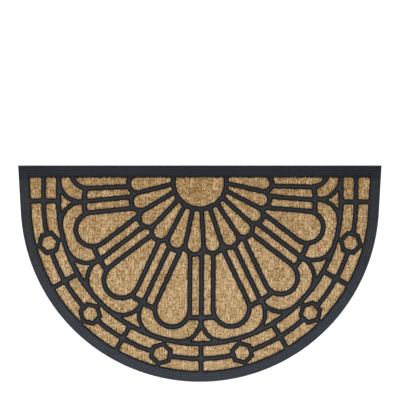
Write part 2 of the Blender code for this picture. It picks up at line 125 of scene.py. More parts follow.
# How far each divider is swung from its even place, in degrees towards +x: its start, its
# end, the shoulders past its end, and the cross bars of the courses in line with it
Swing = namedtuple("Swing", "start end shoulder cross")
SWINGS = {
    -3: Swing(0.1, -0.5, 0.0, -0.55),
    -2: Swing(0.3, -0.1, -0.4, 0.2),
    -1: Swing(0.9, 0.55, -0.4, 0.45),
    0: Swing(1.5, 0.8, -0.2, 0.4),
    1: Swing(2.5, 1.75, 0.45, 0.9),
    2: Swing(2.35, 1.65, 0.3, 0.85),
    3: Swing(0.4, 1.2, 0.5, 0.2),
}
# The same for the eye in the middle of the sector that follows each divider
EYE_SWINGS = {-3: 0.05, -2: 0.45, -1: 0.6, 0: 0.7, 1: 0.1, 2: 0.0}

# Fineness of the outlines
CHORD_ERROR = 0.05
CORNER_STEPS = 5

# Slack allowed where edges only just touch, run on smoothly, or are searched along, and what
# counts as nothing
TANGENT = 0.001
SMOOTH = 0.05
WALK_STEP = 0.25
TINY = 1e-6

# Sections, each row an inset from the edge, a height and how trodden it is, with painted shade
# mixed in: the walls of the tracery's cells, painted near black with shade, and the outer lip of
# the border below the first rib, darkened with painted shade
Row = namedtuple("Row", "inset height wear")
# Painted shade: the grooves and the outer lip darker than the crests
GROOVE_WEAR_AND_SHADE = 0.6
WALL_SECTION = (
    Row(0.0, 5.5, 0.0),
    Row(-0.6, 6.6, 0.0),
    Row(-1.3, 7.9, 0.0),
    Row(-1.65, 8.45, 0.02),
    Row(-1.95, 8.8, 0.05),
    Row(-2.3, 9.0, 0.1),
)
BAR_EDGE = WALL_SECTION[-1]
LIP_SECTION = (
    Row(0.0, 0.0, 0.0),
    Row(0.0, 2.7, GROOVE_WEAR_AND_SHADE),
    Row(0.12, 3.1, GROOVE_WEAR_AND_SHADE),
    Row(0.45, 3.55, GROOVE_WEAR_AND_SHADE),
)
# Wear of the crests, the land and the bars' tops; the higher values also bring in bluish painted
# sheen
CREST_WEAR = 1.0
LAND_WEAR = 0.62
TOP_WEAR = 0.74

# Points over the bars' tops: their spacing, how far they stay from the edges, how far in the
# wear grows past the painted shade at the bars' edges, and the painted shadow that darkens the
# straight border's inner strip
CROWN_STEP = 2.2
CROWN_MARGIN = 0.7
CROWN_REACH = 3.0
SHADE_NEAR = 3.4
SHADE_FAR = 7.0
SHADE_WEAR = 0.1
# Owner of a plate's loose points, whose rings are numbered from 0
LOOSE = -1

# Weave: repeat across and along the warp, lean of the warp, and where a warp float is centred
WEAVE_X = 23.97
WEAVE_Y = 41.26
WARP_LEAN = 0.0439
WEAVE_X0 = 8.07
WEAVE_Y0 = -2.74

# The two sets of yarns, laid in pairs: the weave's repeat from pair to pair and along a yarn,
# how far out they are laid, how far a pair lies off its even place and its yarns apart, the
# half width, level and tone of a yarn, how unevenly it is laid, how many chances are drawn for
# its looks, and its slow waves up, sideways and in thickness, each a length and a height
Yarns = namedtuple(
    "Yarns",
    "repeat run extent shift pitch half_width level tone jitter chances rising swaying swelling",
)
WARP = Yarns(
    WEAVE_X, WEAVE_Y, EDGE_HALF, 0.0, WEAVE_X / 4, 3.4, 5.6, 0.60, 0.18, 2,
    ((37.0, 0.07), (90.0, 0.07)),
    ((33.0, 0.16), (71.0, 0.22), (160.0, 0.25)),
    ((19.0, 0.04), (47.0, 0.05)),
)
WEFT = Yarns(
    WEAVE_Y, WEAVE_X, OUT_R, -0.9, 6.3, 3.6, 5.35, 0.45, 0.2, 1,
    ((29.0, 0.07), (80.0, 0.07)),
    ((27.0, 0.16), (64.0, 0.22), (190.0, 0.3)),
    ((17.0, 0.05), (41.0, 0.05)),
)
# Their half height, how far they swing up and down and how flat their floats are, the length of
# a facet and the number round a yarn, how far inside the panel they end, how far along its
# pattern a yarn may start, how its tone spreads, and the share of its length that a wave has
YARN_HALF_HEIGHT = 0.95
YARN_SWING = 1.0
FLOAT_FLATNESS = 2.0
YARN_STEP = 2.6
YARN_SIDES = 8
YARN_END_INSET = 1.5
YARN_START = 500.0
TONE_SPREAD = 0.16
WAVE_SHORTEST = 0.75
WAVE_LONGEST = 1.3

# Where the coir is pressed down beside a bar
PRESS_SHARE = 0.44
PRESS_REACH = 4.0
PRESS_LEVEL = 2.9
EDGE_SAMPLE = 0.8

# Loose fibres: how many are kept and tried, how far out and how near a bar they may lie, and
# the lowest yarn that carries them
FIBRES = 44000
FIBRE_TRIES = 2.4
FIBRE_FLARE = 8.0
FIBRE_MARGIN = 1.0
FIBRE_GROUND = 6.5
# Their slant from the yarn and how it spreads, in radians, and the share that lies anyhow
FIBRE_SLANT = 0.2
FIBRE_SPREAD = 0.42
FIBRE_STRAYS = 0.22
# Their length, its spread and its bounds, their bend and roll, and their width along them
FIBRE_LENGTH = 6.0
FIBRE_LENGTH_SPREAD = 0.4
FIBRE_BOUNDS = (2.5, 16.0)
FIBRE_BEND = 0.35
FIBRE_ROLL = 0.35
FIBRE_POINTS = 4
FIBRE_WIDTH = 0.26
FIBRE_WIDTHS = (0.7, 1.3)
FIBRE_TAPER = (0.5, 1.0, 1.0, 0.4)
# How far they stand off the yarns: all of them, the usual and the highest arch, the share of
# it at their ends, and the bounds of it all. They sink no further than this between yarns.
FIBRE_LIFT = 0.04
FIBRE_ARCH = 0.3
FIBRE_ARCH_MOST = 1.1
FIBRE_END_ARCH = 0.4
FIBRE_LIFTS = (0.02, 1.3)
FIBRE_SAG = 0.5
# Their tone and its spread, and how much paler they are over the warp than over the weft
FIBRE_TONE = 0.5
FIBRE_TONE_SPREAD = 0.28
FIBRE_TONE_STEP = 0.06
# Frayed ends along the straight border: how many, how far they start back and reach over, the
# share of that reach at which they bend over the border's shoulder, and how they lie
FRAYED = 560
FRAY_BACK = 2.0
FRAY_REACHES = (0.3, 2.6)
FRAY_SHOULDER = 0.7
FRAY_LEAN = 0.6
FRAY_LIFT = 0.15
FRAY_RISE = 0.3
FRAY_WIDTHS = (1.0, 1.8)
FRAY_TAPER = (1.0, 1.0, 0.9, 0.5)
FRAY_TONES = (0.3, 1.0)
PRESSED_COIR = 5.8

# Ground under the yarns
GROUND_LOW = 2.82
GROUND_HIGH = 3.0

SEED = 7

# Rubber's colours, as linear RGB: painted shade in its hollows and on its walls, its own dark
# grey, its trodden tops paled by dust and by bluish painted sheen, and its dust
RUBBER_DEEP_SHADE = (0.005, 0.005, 0.006, 1.0)
RUBBER_MID = (0.0245, 0.0253, 0.0297, 1.0)
RUBBER_DUST_AND_SHEEN = (0.034, 0.040, 0.052, 1.0)
RUBBER_DUST = (0.13, 0.12, 0.10, 1.0)
RUBBER_SHEEN = 0.16
RUBBER_ROUGHNESS = (0.52, 0.66)
# How trodden the rubber is: in all, how much that swings in broad patches and in small clouds,
# how much painted light makes slopes facing the round side lighter, and at what share of it the
# middle colour is reached
RUBBER_DUSTINESS = 0.90
BROAD_DUST = 0.12
CLOUD_DUST = 0.16
SLOPE_LIGHT = 0.10
STEEP = 0.3
NEUTRAL_WEAR = 0.7
MOTTLE_SCALE = 420.0
MOTTLE_SHARE = 0.52
FLECK_FROM = 0.70
FLECK_TO = 0.78
FLECK_SHARE = 0.16
# Painted light makes it paler towards the round side, between these along y; it is cleanest
# round the hub: within the first distance, as usual past the second
RUBBER_LIGHT_FROM = 0.17
RUBBER_LIGHT_TO = -0.17
RUBBER_PAINTED_LIGHT = 0.20
HUB_CLEAN = 0.14
HUB_CLEAN_NEAR = 0.06
HUB_CLEAN_FAR = 0.12
# Painted shade makes the straight border darker: where that starts and ends along y, and its tint
DOOR_SHADE_NEAR = 0.190
DOOR_SHADE_FAR = 0.198
DOOR_SHADE_TINT = (0.55, 0.62, 0.77, 1.0)
NO_TINT = (1.0, 1.0, 1.0, 1.0)

# Coir's colours, as linear RGB
COIR_DARK = (0.21, 0.105, 0.028, 1.0)
COIR_MID = (0.47, 0.31, 0.145, 1.0)
COIR_PALE = (0.72, 0.53, 0.30, 1.0)
# Painted shade in the gaps between the yarns, and on the ground below them
COIR_GAP_SHADE = (0.17, 0.08, 0.022, 1.0)
FIBRE_PALE = (0.80, 0.62, 0.38, 1.0)
WARM_TINT = (1.03, 0.985, 0.96, 1.0)
COOL_TINT = (0.97, 1.015, 1.04, 1.0)
HUE_SCALE = 300.0
HUE_FROM = 0.35
HUE_TO = 0.65
YARN_ROUGHNESS = 0.88
YARN_SHEEN = 0.08
FIBRE_ROUGHNESS = 0.6
FIBRE_SHEEN = 0.12
GROUND_ROUGHNESS = 0.95
# Lightness of the coir: how much each kind of variation counts, how far the tufts lean, and
# how fine they and the broad patches are
TONE_SHARE = 0.5
FIBRE_TONE_SHARE = 0.7
GRAIN_SHARE = 0.96
REGION_SHARE = 0.16
GRAIN_LEAN = 0.25
GRAIN_SCALE = 440.0
REGION_SCALE = 22.0
# Tufts' fineness across x and along y, on the warp, on the weft and on loose fibres
WARP_GRAIN = (1.0, 0.33)
WEFT_GRAIN = (0.5, 0.95)
FIBRE_GRAIN = (0.9, 0.5)
# A yarn's twist: how fine its streaks are round it, how they wind along it, and its plies
ROUND_SCALE = 14.0
TWIST = 0.55
PLIES = 2
TONE_KEY = 137.0
# Its streaks, fine and coarse: how fine along it and in all, and how much they count
Streak = namedtuple("Streak", "along scale roughness share")
FINE = Streak(0.11, 2.6, 0.6, 0.35)
COARSE = Streak(0.16, 0.9, 0.5, 0.3)
# Painted shade: how much darker a yarn is where it dips fully
DIP_SHADE = 0.2
# Coir along the bars: how far in it changes, its dusty tint, and how much darker it is with
# painted shade
RIM_REACH = 3.0
RIM_TINT = (0.95, 1.08, 1.50, 1.0)
RIM_SHADE = 0.15
# Heights between which painted shade darkens the coir into the gaps, and how much
GAP_LOW = 0.0040
GAP_HIGH = 0.0062
GAP_SHADE_SHARE = 0.25
# Painted light: its lightness grows from the straight side, between these along y
COIR_LIGHT_FROM = 0.20
COIR_LIGHT_TO = 0.01
COIR_SHADE_FROM = 0.335
COIR_SHADE_TO = 0.535
# Dark stains in the coir, by name: the middle, the reach and how much darker
Stain = namedtuple("Stain", "x y reach depth")
STAINS = {
    "hub": Stain(-0.013, 0.168, 0.030, 0.20),
    "left course": Stain(-0.187, -0.047, 0.022, 0.14),
    "right petal": Stain(0.164, -0.005, 0.022, 0.14),
    "right petal's far end": Stain(0.238, 0.113, 0.024, 0.14),
}
# The range that a noise mostly keeps to
NOISE_LOW = 0.3
NOISE_HIGH = 0.7

# Floor, sky and lamps: a lamp's name, place, size and power
FLOOR_A = (0.90, 0.90, 0.895, 1.0)
FLOOR_B = (0.93, 0.93, 0.925, 1.0)
FLOOR_GLOW = 0.45
FLOOR_ROUGHNESS = 0.9
FLOOR_HALF = 30.0
FLOOR_LEVEL = -0.0002
SKY_COLOUR = (0.95, 0.97, 1.0, 1.0)
SKY_STRENGTH = 0.62
LAMPS = (
    ("key", (-0.25, 1.5, 2.3), (1.6, 1.2), 36.0),
    ("fill", (-0.5, -1.4, 2.3), (1.6, 1.6), 26.0),
)

# Camera, straight above: its view's width on the mat, the place it looks at, and its lens
VIEW_WIDTH = 0.82464
VIEW_X = 0.0004
VIEW_Y = 0.1519
VIEW_LEVEL = 0.005
LENS = 200.0
SENSOR = 36.0
FURTHEST = 50.0

# Derived places and sizes
C = Vector((0.0, 0.0))
H = Vector((0.0, HUB_RISE))
CENTRE_Y = (OUT_R - EDGE_RISE) / 2
COURSE_2_OUT = OUT_R - BORDER
COURSE_2_IN = COURSE_2_OUT - COURSE
COURSE_1_OUT = COURSE_2_IN - BAR
COURSE_1_IN = COURSE_1_OUT - COURSE
EYES_R = COURSE_1_OUT + BAR / 2
FLOWER_R = COURSE_1_IN - FLOWER_BAR
BORDER_Y = EDGE_RISE - STRAIGHT_BORDER
FAN = Vector((0.0, FAN_RISE))
STRIP_FAR = BAR / 2 + STRIP
PETAL_SIDE = STRIP_FAR + BAR
LEFTWARD = Vector((-1.0, 0.0))
UPWARD = Vector((0.0, 1.0))


def outward(degrees):
    """Unit vector at an angle from straight down, positive towards +x."""
    angle = math.radians(degrees)
    return Vector((math.sin(angle), -math.cos(angle)))


def quarter_turn(v):
    return Vector((-v.y, v.x))


class Line:
    """A straight edge through a point, with the cell on the left of its direction."""

    def __init__(self, point, direction, near=None, rounding=ROUNDING):
        self.point = point
        self.direction = direction.normalized()
        self.near = near
        self.rounding = rounding

    def moved(self, inset):
        shifted = self.point + inset * quarter_turn(self.direction)
        return Line(shifted, self.direction, self.near, self.rounding)

    def foot(self, q):
        return self.point + (q - self.point).dot(self.direction) * self.direction

    def heading(self, q):
        return self.direction

    def between(self, start, end, steps):
        return []

    def steps(self, start, end):
        return 1


class Arc:
    """A round edge. The cell is inside the circle when side is 1, outside when it is -1."""

    def __init__(self, centre, radius, side, near=None, rounding=ROUNDING):
        self.centre = centre
        self.radius = radius
        self.side = side
        self.near = near
        self.rounding = rounding

    def moved(self, inset):
        radius = self.radius - self.side * inset
        return Arc(self.centre, radius, self.side, self.near, self.rounding)

    def foot(self, q):
        return self.centre + self.radius * (q - self.centre).normalized()

    def heading(self, q):
        return self.side * quarter_turn((q - self.centre).normalized())

    def sweep(self, start, end):
        a = start - self.centre
        b = end - self.centre
        turn = math.atan2(a.x * b.y - a.y * b.x, a.dot(b)) * self.side
        return turn if turn >= 0 else turn + 2 * math.pi

    def steps(self, start, end):
        step = 2 * math.acos(1 - CHORD_ERROR / self.radius)
        return max(1, math.ceil(self.sweep(start, end) / step))

    def between(self, start, end, steps):
        turn = self.sweep(start, end) * self.side
        spoke = start - self.centre
        points = []
        for i in range(1, steps):
            angle = turn * i / steps
            x = spoke.x * math.cos(angle) - spoke.y * math.sin(angle)
            y = spoke.x * math.sin(angle) + spoke.y * math.cos(angle)
            points.append(self.centre + Vector((x, y)))
        return points


def either_side(middle, direction, squared, slack, near):
    """The nearer of two points either side of a middle, or None where edges miss each other."""
    if abs(squared) < slack:
        return middle
    if squared < 0:
        return None
    reach = math.sqrt(squared) * direction
    return min((middle + reach, middle - reach), key=lambda p: (p - near).length)


def meet(a, b, near):
    """The point where two edges cross, or touch, that lies nearest to a given place."""
    if isinstance(a, Line) and isinstance(b, Line):
        across = a.direction.x * b.direction.y - a.direction.y * b.direction.x
        gap = b.point - a.point
        along = (gap.x * b.direction.y - gap.y * b.direction.x) / across
        return a.point + along * a.direction
    if isinstance(a, Arc) and isinstance(b, Line):
        return meet(b, a, near)
    slack = 2 * b.radius * TANGENT
    if isinstance(a, Line):
        middle = a.foot(b.centre)
        squared = b.radius ** 2 - (middle - b.centre).length_squared
        return either_side(middle, a.direction, squared, slack, near)
    span = b.centre - a.centre
    along = (a.radius ** 2 - b.radius ** 2 + span.length_squared) / (2 * span.length)
    middle = a.centre + along * span.normalized()
    squared = a.radius ** 2 - along ** 2
    return either_side(middle, quarter_turn(span.normalized()), squared, slack, near)


def corner(a, b, near, inset):
    """Points of the corner from edge a to edge b, rounded unless the two run on smoothly.

    Where a narrow inlet is left between the two, the rounding closes it.
    """
    point = meet(a, b, near)
    side = 1
    if point is not None:
        first = a.heading(point)
        second = b.heading(point)
        turn = first.x * second.y - first.y * second.x
        if a.rounding == 0 or abs(turn) < SMOOTH:
            return [meet(a.moved(inset), b.moved(inset), point)]
        side = 1 if turn > 0 else -1
    reach = side * a.rounding
    middle = meet(a.moved(reach), b.moved(reach), point or near)
    start = a.moved(inset).foot(middle)
    end = b.moved(inset).foot(middle)
    bend = Arc(middle, a.rounding - side * inset, side)
    return [start] + bend.between(start, end, CORNER_STEPS) + [end]


def loop(edges, anchor, inset, counts=None):
    """The outline of a cell, moved inwards, and the facets taken along each of its edges."""
    corners = []
    for edge, following in zip(edges, edges[1:] + edges[:1]):
        corners.append(corner(edge, following, edge.near or anchor, inset))
    shifted = [edge.moved(inset) for edge in edges]
    ends = [(corners[i - 1][-1], corners[i][0]) for i in range(len(edges))]
    counts = counts or [edge.steps(*pair) for edge, pair in zip(shifted, ends)]
    points = []
    for edge, pair, count, bend in zip(shifted, ends, counts, corners):
        points += edge.between(*pair, count) + bend
    return points, counts


def mat_outline():
    """The half-moon: a round edge that flares straight out to the ends of the straight edge."""
    tip = Vector((EDGE_HALF, EDGE_RISE))
    flare = math.degrees(math.acos(OUT_R / tip.length) - math.atan2(tip.y, tip.x))
    side = quarter_turn(outward(90.0 - flare))
    other = Vector((side.x, -side.y))
    foot = OUT_R * outward(90.0 - flare)
    other_foot = Vector((-foot.x, foot.y))
    return [
        Line(foot, side, rounding=0.0),
        Line(tip, LEFTWARD, rounding=0.0),
        Line(other_foot, other, rounding=0.0),
        Arc(C, OUT_R, 1, rounding=0.0),
    ]


def mat_loops(insets):
    """The mat's outline at several insets."""
    return at_insets((mat_outline(), C), insets)


def top_edge(near=None):
    """The inner edge of the straight border, which cuts the cells beside it."""
    return Line(Vector((0.0, BORDER_Y)), LEFTWARD, near)


def swing(number, hand):
    """A divider's swing as seen in the right half: hand is -1 for the mirrored left half."""
    return Swing(*(hand * angle for angle in SWINGS[hand * number]))


def cross_angle(number, hand):
    return SECTOR * number + swing(number, hand).cross


def eye_angle(sector, hand):
    place = sector if hand == 1 else -1 - sector
    return SECTOR * (sector + 0.5) + hand * EYE_SWINGS[place]


def fan_bar(number, hand):
    """Angle at which a bar between two small petals leaves the fan's centre."""
    even = FAN_STEP * number
    return even + hand * FAN_LEAN * math.cos(math.radians(hand * even - FAN_LEAN_AT))


def small_petal_end(number, hand):
    """Centre and radius of a small petal's round end, counted from 0 right of the middle."""
    low = fan_bar(number, hand)
    high = fan_bar(number + 1, hand)
    axis = outward((low + high) / 2)
    ends = Arc(H + Vector((hand * SMALL_END_SHIFT, 0.0)), SMALL_END_R, 1)
    centre = meet(Line(FAN, axis), ends, SMALL_END_R * axis)
    spread = math.radians(high - low) / 2
    return centre, (centre - FAN).length * math.sin(spread) - BAR / 2


def divider(number, hand):
    """Both ends of the divider at a whole number of sectors."""
    turned = swing(number, hand)
    inner = H + DIVIDER_R_INNER * outward(DIVIDER_STEP_INNER * number + turned.start)
    return inner, DIVIDER_R_OUTER * outward(SECTOR * number + turned.end)


def divider_edge(number, distance, heading, hand):
    """A line beside a divider: distance is towards the next one, heading 1 runs outwards."""
    inner, outer = divider(number, hand)
    direction = (outer - inner).normalized()
    return Line(inner + distance * quarter_turn(direction), heading * direction)


def far_side(number, distance, heading, hand):
    """A line past a divider's strip, slanted past the last one, whose strip narrows inwards."""
    if number < SECTORS_A_SIDE:
        return divider_edge(number, distance, heading, hand)
    inner, outer = divider(number, hand)
    along = (outer - inner).normalized()
    slant = math.radians(TOP_SLANT)
    direction = math.cos(slant) * along + math.sin(slant) * quarter_turn(along)
    return Line((inner + outer) / 2 + distance * quarter_turn(direction), heading * direction)


def petal_end(number, hand):
    """Centre and radius of the round end of the petal after a divider."""
    if number == SECTORS_A_SIDE:
        side = far_side(number, PETAL_SIDE + TOP_PETAL_END, 1, hand)
        upright = Line(Vector((TOP_PETAL_X, 0.0)), UPWARD)
        return meet(side, upright, H), TOP_PETAL_END
    one = divider_edge(number, PETAL_SIDE, 1, hand)
    two = divider_edge(number + 1, -PETAL_SIDE, -1, hand)
    start = meet(one, two, H)
    axis = Line(start, meet(one.moved(1.0), two.moved(1.0), H) - start)
    centre = meet(axis, Arc(C, PETAL_END_R, 1), PETAL_END_R * outward(SECTOR * (number + 0.5)))
    return centre, (centre - one.foot(centre)).length


def scallop(number, hand):
    """The outer edge of the bar round a small petal's end."""
    centre, radius = small_petal_end(number, hand)
    return Arc(centre, radius + BAR, -1)


def scallop_struck(edge, hand):
    """Number of the scallop that a side's rounded corner rests on, at its end by the hub."""
    path = edge.moved(ROUNDING)
    inwards = (path.foot(H) - path.point).normalized()
    point = path.point - 2 * BAR * inwards
    while True:
        for number in range(-SMALL_A_SIDE, SMALL_A_SIDE):
            end = scallop(number, hand)
            if (point - end.centre).length < end.radius + ROUNDING:
                return number
        point = point + WALK_STEP * inwards


def scallops(first, last, hand):
    """Concave edges along the scalloped ends of the small petals, from right to left."""
    return [scallop(number, hand) for number in range(first, last - 1, -1)]


def closed(edges, hand):
    """A cell's edges, with the scallops between its last side and its first."""
    last, first = (scallop_struck(side, hand) for side in (edges[-1], edges[0]))
    return edges + scallops(last, first, hand)


def hub():
    half = math.sqrt(HUB_R ** 2 - (BORDER_Y - HUB_RISE) ** 2)
    edges = [
        top_edge(Vector((-half, BORDER_Y))),
        Arc(H, HUB_R, 1, Vector((half, BORDER_Y))),
    ]
    return edges, H


def small_petal(number, hand):
    low = outward(fan_bar(number, hand))
    high = outward(fan_bar(number + 1, hand))
    centre, radius = small_petal_end(number, hand)
    side = Line(FAN, low).moved(BAR / 2)
    end = Arc(centre, radius, 1)
    inner = Arc(H, SMALL_INNER_R, -1)
    if number < SMALL_A_SIDE - 1:
        return [side, end, Line(FAN, -high).moved(BAR / 2), inner], centre
    end.near = centre + Vector((radius, radius))
    return [side, end, top_edge(), inner], centre


def strip_middle(number, side, hand):
    """A place in the outer part of a strip."""
    middle = divider_edge(number, side * (BAR + STRIP) / 2, 1, hand)
    return middle.point + (CROSS_IN_R - DIVIDER_R_INNER) * middle.direction


def round_petal(side, centre, radius):
    """The edge of a strip that bends round a petal's end, where the strip is long enough."""
    if side.foot(centre).length > CROSS_IN_R - ROUNDING:
        return []
    return [Arc(centre, radius + BAR, -1)]


def strip_after(number, hand):
    """The straight strip of coir on the far side of a divider from the middle."""
    one = divider_edge(number, BAR / 2, 1, hand)
    two = far_side(number, STRIP_FAR, -1, hand)
    bent = round_petal(two, *petal_end(number, hand))
    edges = closed([one, Arc(C, CROSS_IN_R, 1)] + bent + [two], hand)
    return edges, strip_middle(number, 1, hand)


def strip_before(number, hand):
    """The straight strip of coir on the near side of a divider from the middle."""
    one = divider_edge(number, -STRIP_FAR, 1, hand)
    two = divider_edge(number, -BAR / 2, -1, hand)
    bent = round_petal(one, *petal_end(number - 1, hand))
    edges = closed([one] + bent + [Arc(C, CROSS_IN_R, 1), two], hand)
    return edges, strip_middle(number, -1, hand)


def big_petal(number, hand):
    one = divider_edge(number, PETAL_SIDE, 1, hand)
    two = divider_edge(number + 1, -PETAL_SIDE, -1, hand)
    centre, radius = petal_end(number, hand)
    return closed([one, Arc(centre, radius, 1), two], hand), centre


def top_petal(hand):
    """The last petal, of which the straight border leaves only the lower part."""
    side = far_side(SECTORS_A_SIDE, PETAL_SIDE, 1, hand)
    centre, radius = petal_end(SECTORS_A_SIDE, hand)
    end = Arc(centre, radius, 1, Vector((centre.x + radius, BORDER_Y)))
    edges = [side, end, top_edge()]
    edges += scallops(SMALL_A_SIDE - 1, scallop_struck(side, hand), hand)
    return edges, Vector((centre.x, BORDER_Y - radius / 2))


def shoulder(number, side, hand, near=None):
    """The round shoulder of a band beside a divider: side 1 is the far side from the middle."""
    beside = divider_edge(number, side * (BAR / 2 + SHOULDER), 1, hand)
    turned = math.radians(swing(number, hand).shoulder)
    if number == SECTORS_A_SIDE and side == 1:
        centre = meet(beside, Line(Vector((FLOWER_R - SHOULDER, 0.0)), UPWARD), C)
        return Arc(centre + turned * FLOWER_R * UPWARD, SHOULDER, 1, near)
    centre = meet(beside, Arc(C, FLOWER_R - SHOULDER, 1), FLOWER_R * outward(SECTOR * number))
    centre = math.cos(turned) * centre + math.sin(turned) * quarter_turn(centre)
    return Arc(centre, SHOULDER, 1, near)


def band(number, hand):
    """The band of coir that wraps the round end of a big petal."""
    centre, radius = petal_end(number, hand)
    near_one = CROSS_OUT_R * outward(SECTOR * number)
    near_two = CROSS_OUT_R * outward(SECTOR * (number + 1))
    edges = [
        shoulder(number, 1, hand),
        Arc(C, FLOWER_R, 1),
        shoulder(number + 1, -1, hand, near_two),
        Arc(C, CROSS_OUT_R, -1, near_two),
        Arc(centre, radius + BAR, -1, near_one),
        Arc(C, CROSS_OUT_R, -1, near_one),
    ]
    return edges, centre


def top_band(hand):
    """The part of the last band that the straight border leaves."""
    centre, radius = petal_end(SECTORS_A_SIDE, hand)
    near_one = CROSS_OUT_R * outward(SECTOR * SECTORS_A_SIDE)
    near_top = Vector((centre.x + radius, BORDER_Y))
    edges = [shoulder(SECTORS_A_SIDE, 1, hand)]
    if edges[0].centre.y < BORDER_Y - ROUNDING:
        edges.append(Line(Vector((FLOWER_R, 0.0)), UPWARD))
    edges += [
        top_edge(near_top),
        Arc(centre, radius + BAR, -1, near_one),
        Arc(C, CROSS_OUT_R, -1, near_one),
    ]
    return edges, near_top


def spandrel(number, hand):
    """The small three-sided cell between two bands, at the foot of a divider."""
    edges = [Arc(C, FLOWER_R, 1)]
    if number == SECTORS_A_SIDE:
        edges.append(Line(Vector((FLOWER_R, 0.0)), UPWARD))
    for side in (1, -1):
        beside = shoulder(number, side, hand)
        edges.append(Arc(beside.centre, beside.radius + BAR - SPANDREL_THINNING, -1))
    for edge in edges:
        edge.rounding = SPANDREL_ROUNDING
    return edges, (FLOWER_R - BAR) * outward(SECTOR * number)


def eye_side(angle, turn, heading, size):
    """One side of a six-sided eye. Turn is the side's angle from the outward direction."""
    normal = outward(angle + turn)
    apothem = size * math.cos(math.pi / 6)
    return Line(EYES_R * outward(angle) + apothem * normal, heading * quarter_turn(normal))


def eye(sector, hand):
    """The six-sided cell inside an eye."""
    angle = eye_angle(sector, hand)
    edges = [eye_side(angle, turn, 1, EYE_COIR_R) for turn in range(30, 390, 60)]
    return edges, EYES_R * outward(angle)


def inner_cell(cross, angle):
    """The cell of the inner course between a cross bar and the eye after it."""
    tip = eye_side(angle, -150, -1, EYE_BAR_R)
    tip.rounding = TIP_ROUNDING
    edges = [
        Line(C, outward(cross)).moved(BAR / 2),
        Arc(C, COURSE_1_OUT, 1),
        eye_side(angle, -90, -1, EYE_BAR_R),
        tip,
        Arc(C, COURSE_1_IN, -1),
    ]
    return edges, COURSE_1_OUT * outward((cross + angle) / 2)


def outer_cell(cross, angle):
    """The cell of the outer course between a cross bar and the eye after it."""
    edges = [
        Line(C, outward(cross)).moved(BAR / 2),
        Arc(C, COURSE_2_OUT, 1, rounding=TIP_ROUNDING),
        eye_side(angle, -30, -1, EYE_BAR_R),
        eye_side(angle, -90, -1, EYE_BAR_R),
        Arc(C, COURSE_2_IN, -1),
    ]
    return edges, COURSE_2_IN * outward((cross + angle) / 2)


def top_course(point, direction, inner, hand):
    """The upper end of a course, from its outer side in to a given x, by the straight border."""
    cross = Line(C, outward(cross_angle(SECTORS_A_SIDE, hand))).moved(BAR / 2)
    inner_side = Line(Vector((inner, 0.0)), -UPWARD)
    edges = [cross, Line(point, direction), top_edge(), inner_side]
    return edges, Vector((inner, BORDER_Y))


def right_half(hand):
    """Edges and anchor of every cell right of the middle, but for the cells beside the eyes."""
    flare = mat_outline()[0].moved(BORDER)
    half = [small_petal(number, hand) for number in range(SMALL_A_SIDE)]
    half += [strip_after(number, hand) for number in range(SECTORS_A_SIDE + 1)]
    half += [strip_before(number, hand) for number in range(1, SECTORS_A_SIDE + 1)]
    half += [big_petal(number, hand) for number in range(SECTORS_A_SIDE)] + [top_petal(hand)]
    half += [band(number, hand) for number in range(SECTORS_A_SIDE)] + [top_band(hand)]
    half += [spandrel(number, hand) for number in range(1, SECTORS_A_SIDE + 1)]
    half += [eye(sector, hand) for sector in range(SECTORS_A_SIDE)]
    half.append(top_course(Vector((COURSE_1_OUT, 0.0)), UPWARD, COURSE_1_IN, hand))
    return half + [top_course(flare.point, flare.direction, COURSE_2_IN, hand)]


def beside_eyes(hand, insets):
    """Outlines of the ring cells either side of each eye: the far ones are built mirrored."""
    cells = []
    for sector in range(SECTORS_A_SIDE):
        angle = eye_angle(sector, hand)
        before = cross_angle(sector, hand)
        after = 2 * angle - cross_angle(sector + 1, hand)
        for cell in (inner_cell, outer_cell):
            cells.append(at_insets(cell(before, angle), insets))
            cells.append(mirrored(at_insets(cell(after, angle), insets), outward(angle)))
    return cells


def at_insets(cell, insets):
    """A cell's outline at several insets, all with the same number of points."""
    edges, anchor = cell
    counts = loop(edges, anchor, 0.0)[1]
    return [loop(edges, anchor, inset, counts)[0] for inset in insets]


def mirrored(loops, axis):
    """Outlines mirrored in a line through C, in an order that still runs the same way round."""
    return [[2 * p.dot(axis) * axis - p for p in reversed(points)] for points in loops]


def cell_loops(insets):
    """For every cell of the tracery, its outline at each of the insets."""
    cells = [at_insets(hub(), insets), at_insets(spandrel(0, 1), insets)]
    for hand in (1, -1):
        half = [at_insets(cell, insets) for cell in right_half(hand)] + beside_eyes(hand, insets)
        cells += half if hand == 1 else [mirrored(loops, UPWARD) for loops in half]
    return cells


def inside(point, polygon):
    """Whether a point lies within a polygon."""
    result = False
    for i, b in enumerate(polygon):
        a = polygon[i - 1]
        if (a.y > point.y) != (b.y > point.y):
            if point.x < a.x + (point.y - a.y) / (b.y - a.y) * (b.x - a.x):
                result = not result
    return result


def placed(name, data):
    """A new object in the scene."""
    thing = bpy.data.objects.new(name, data)
    bpy.context.scene.collection.objects.link(thing)
    return thing


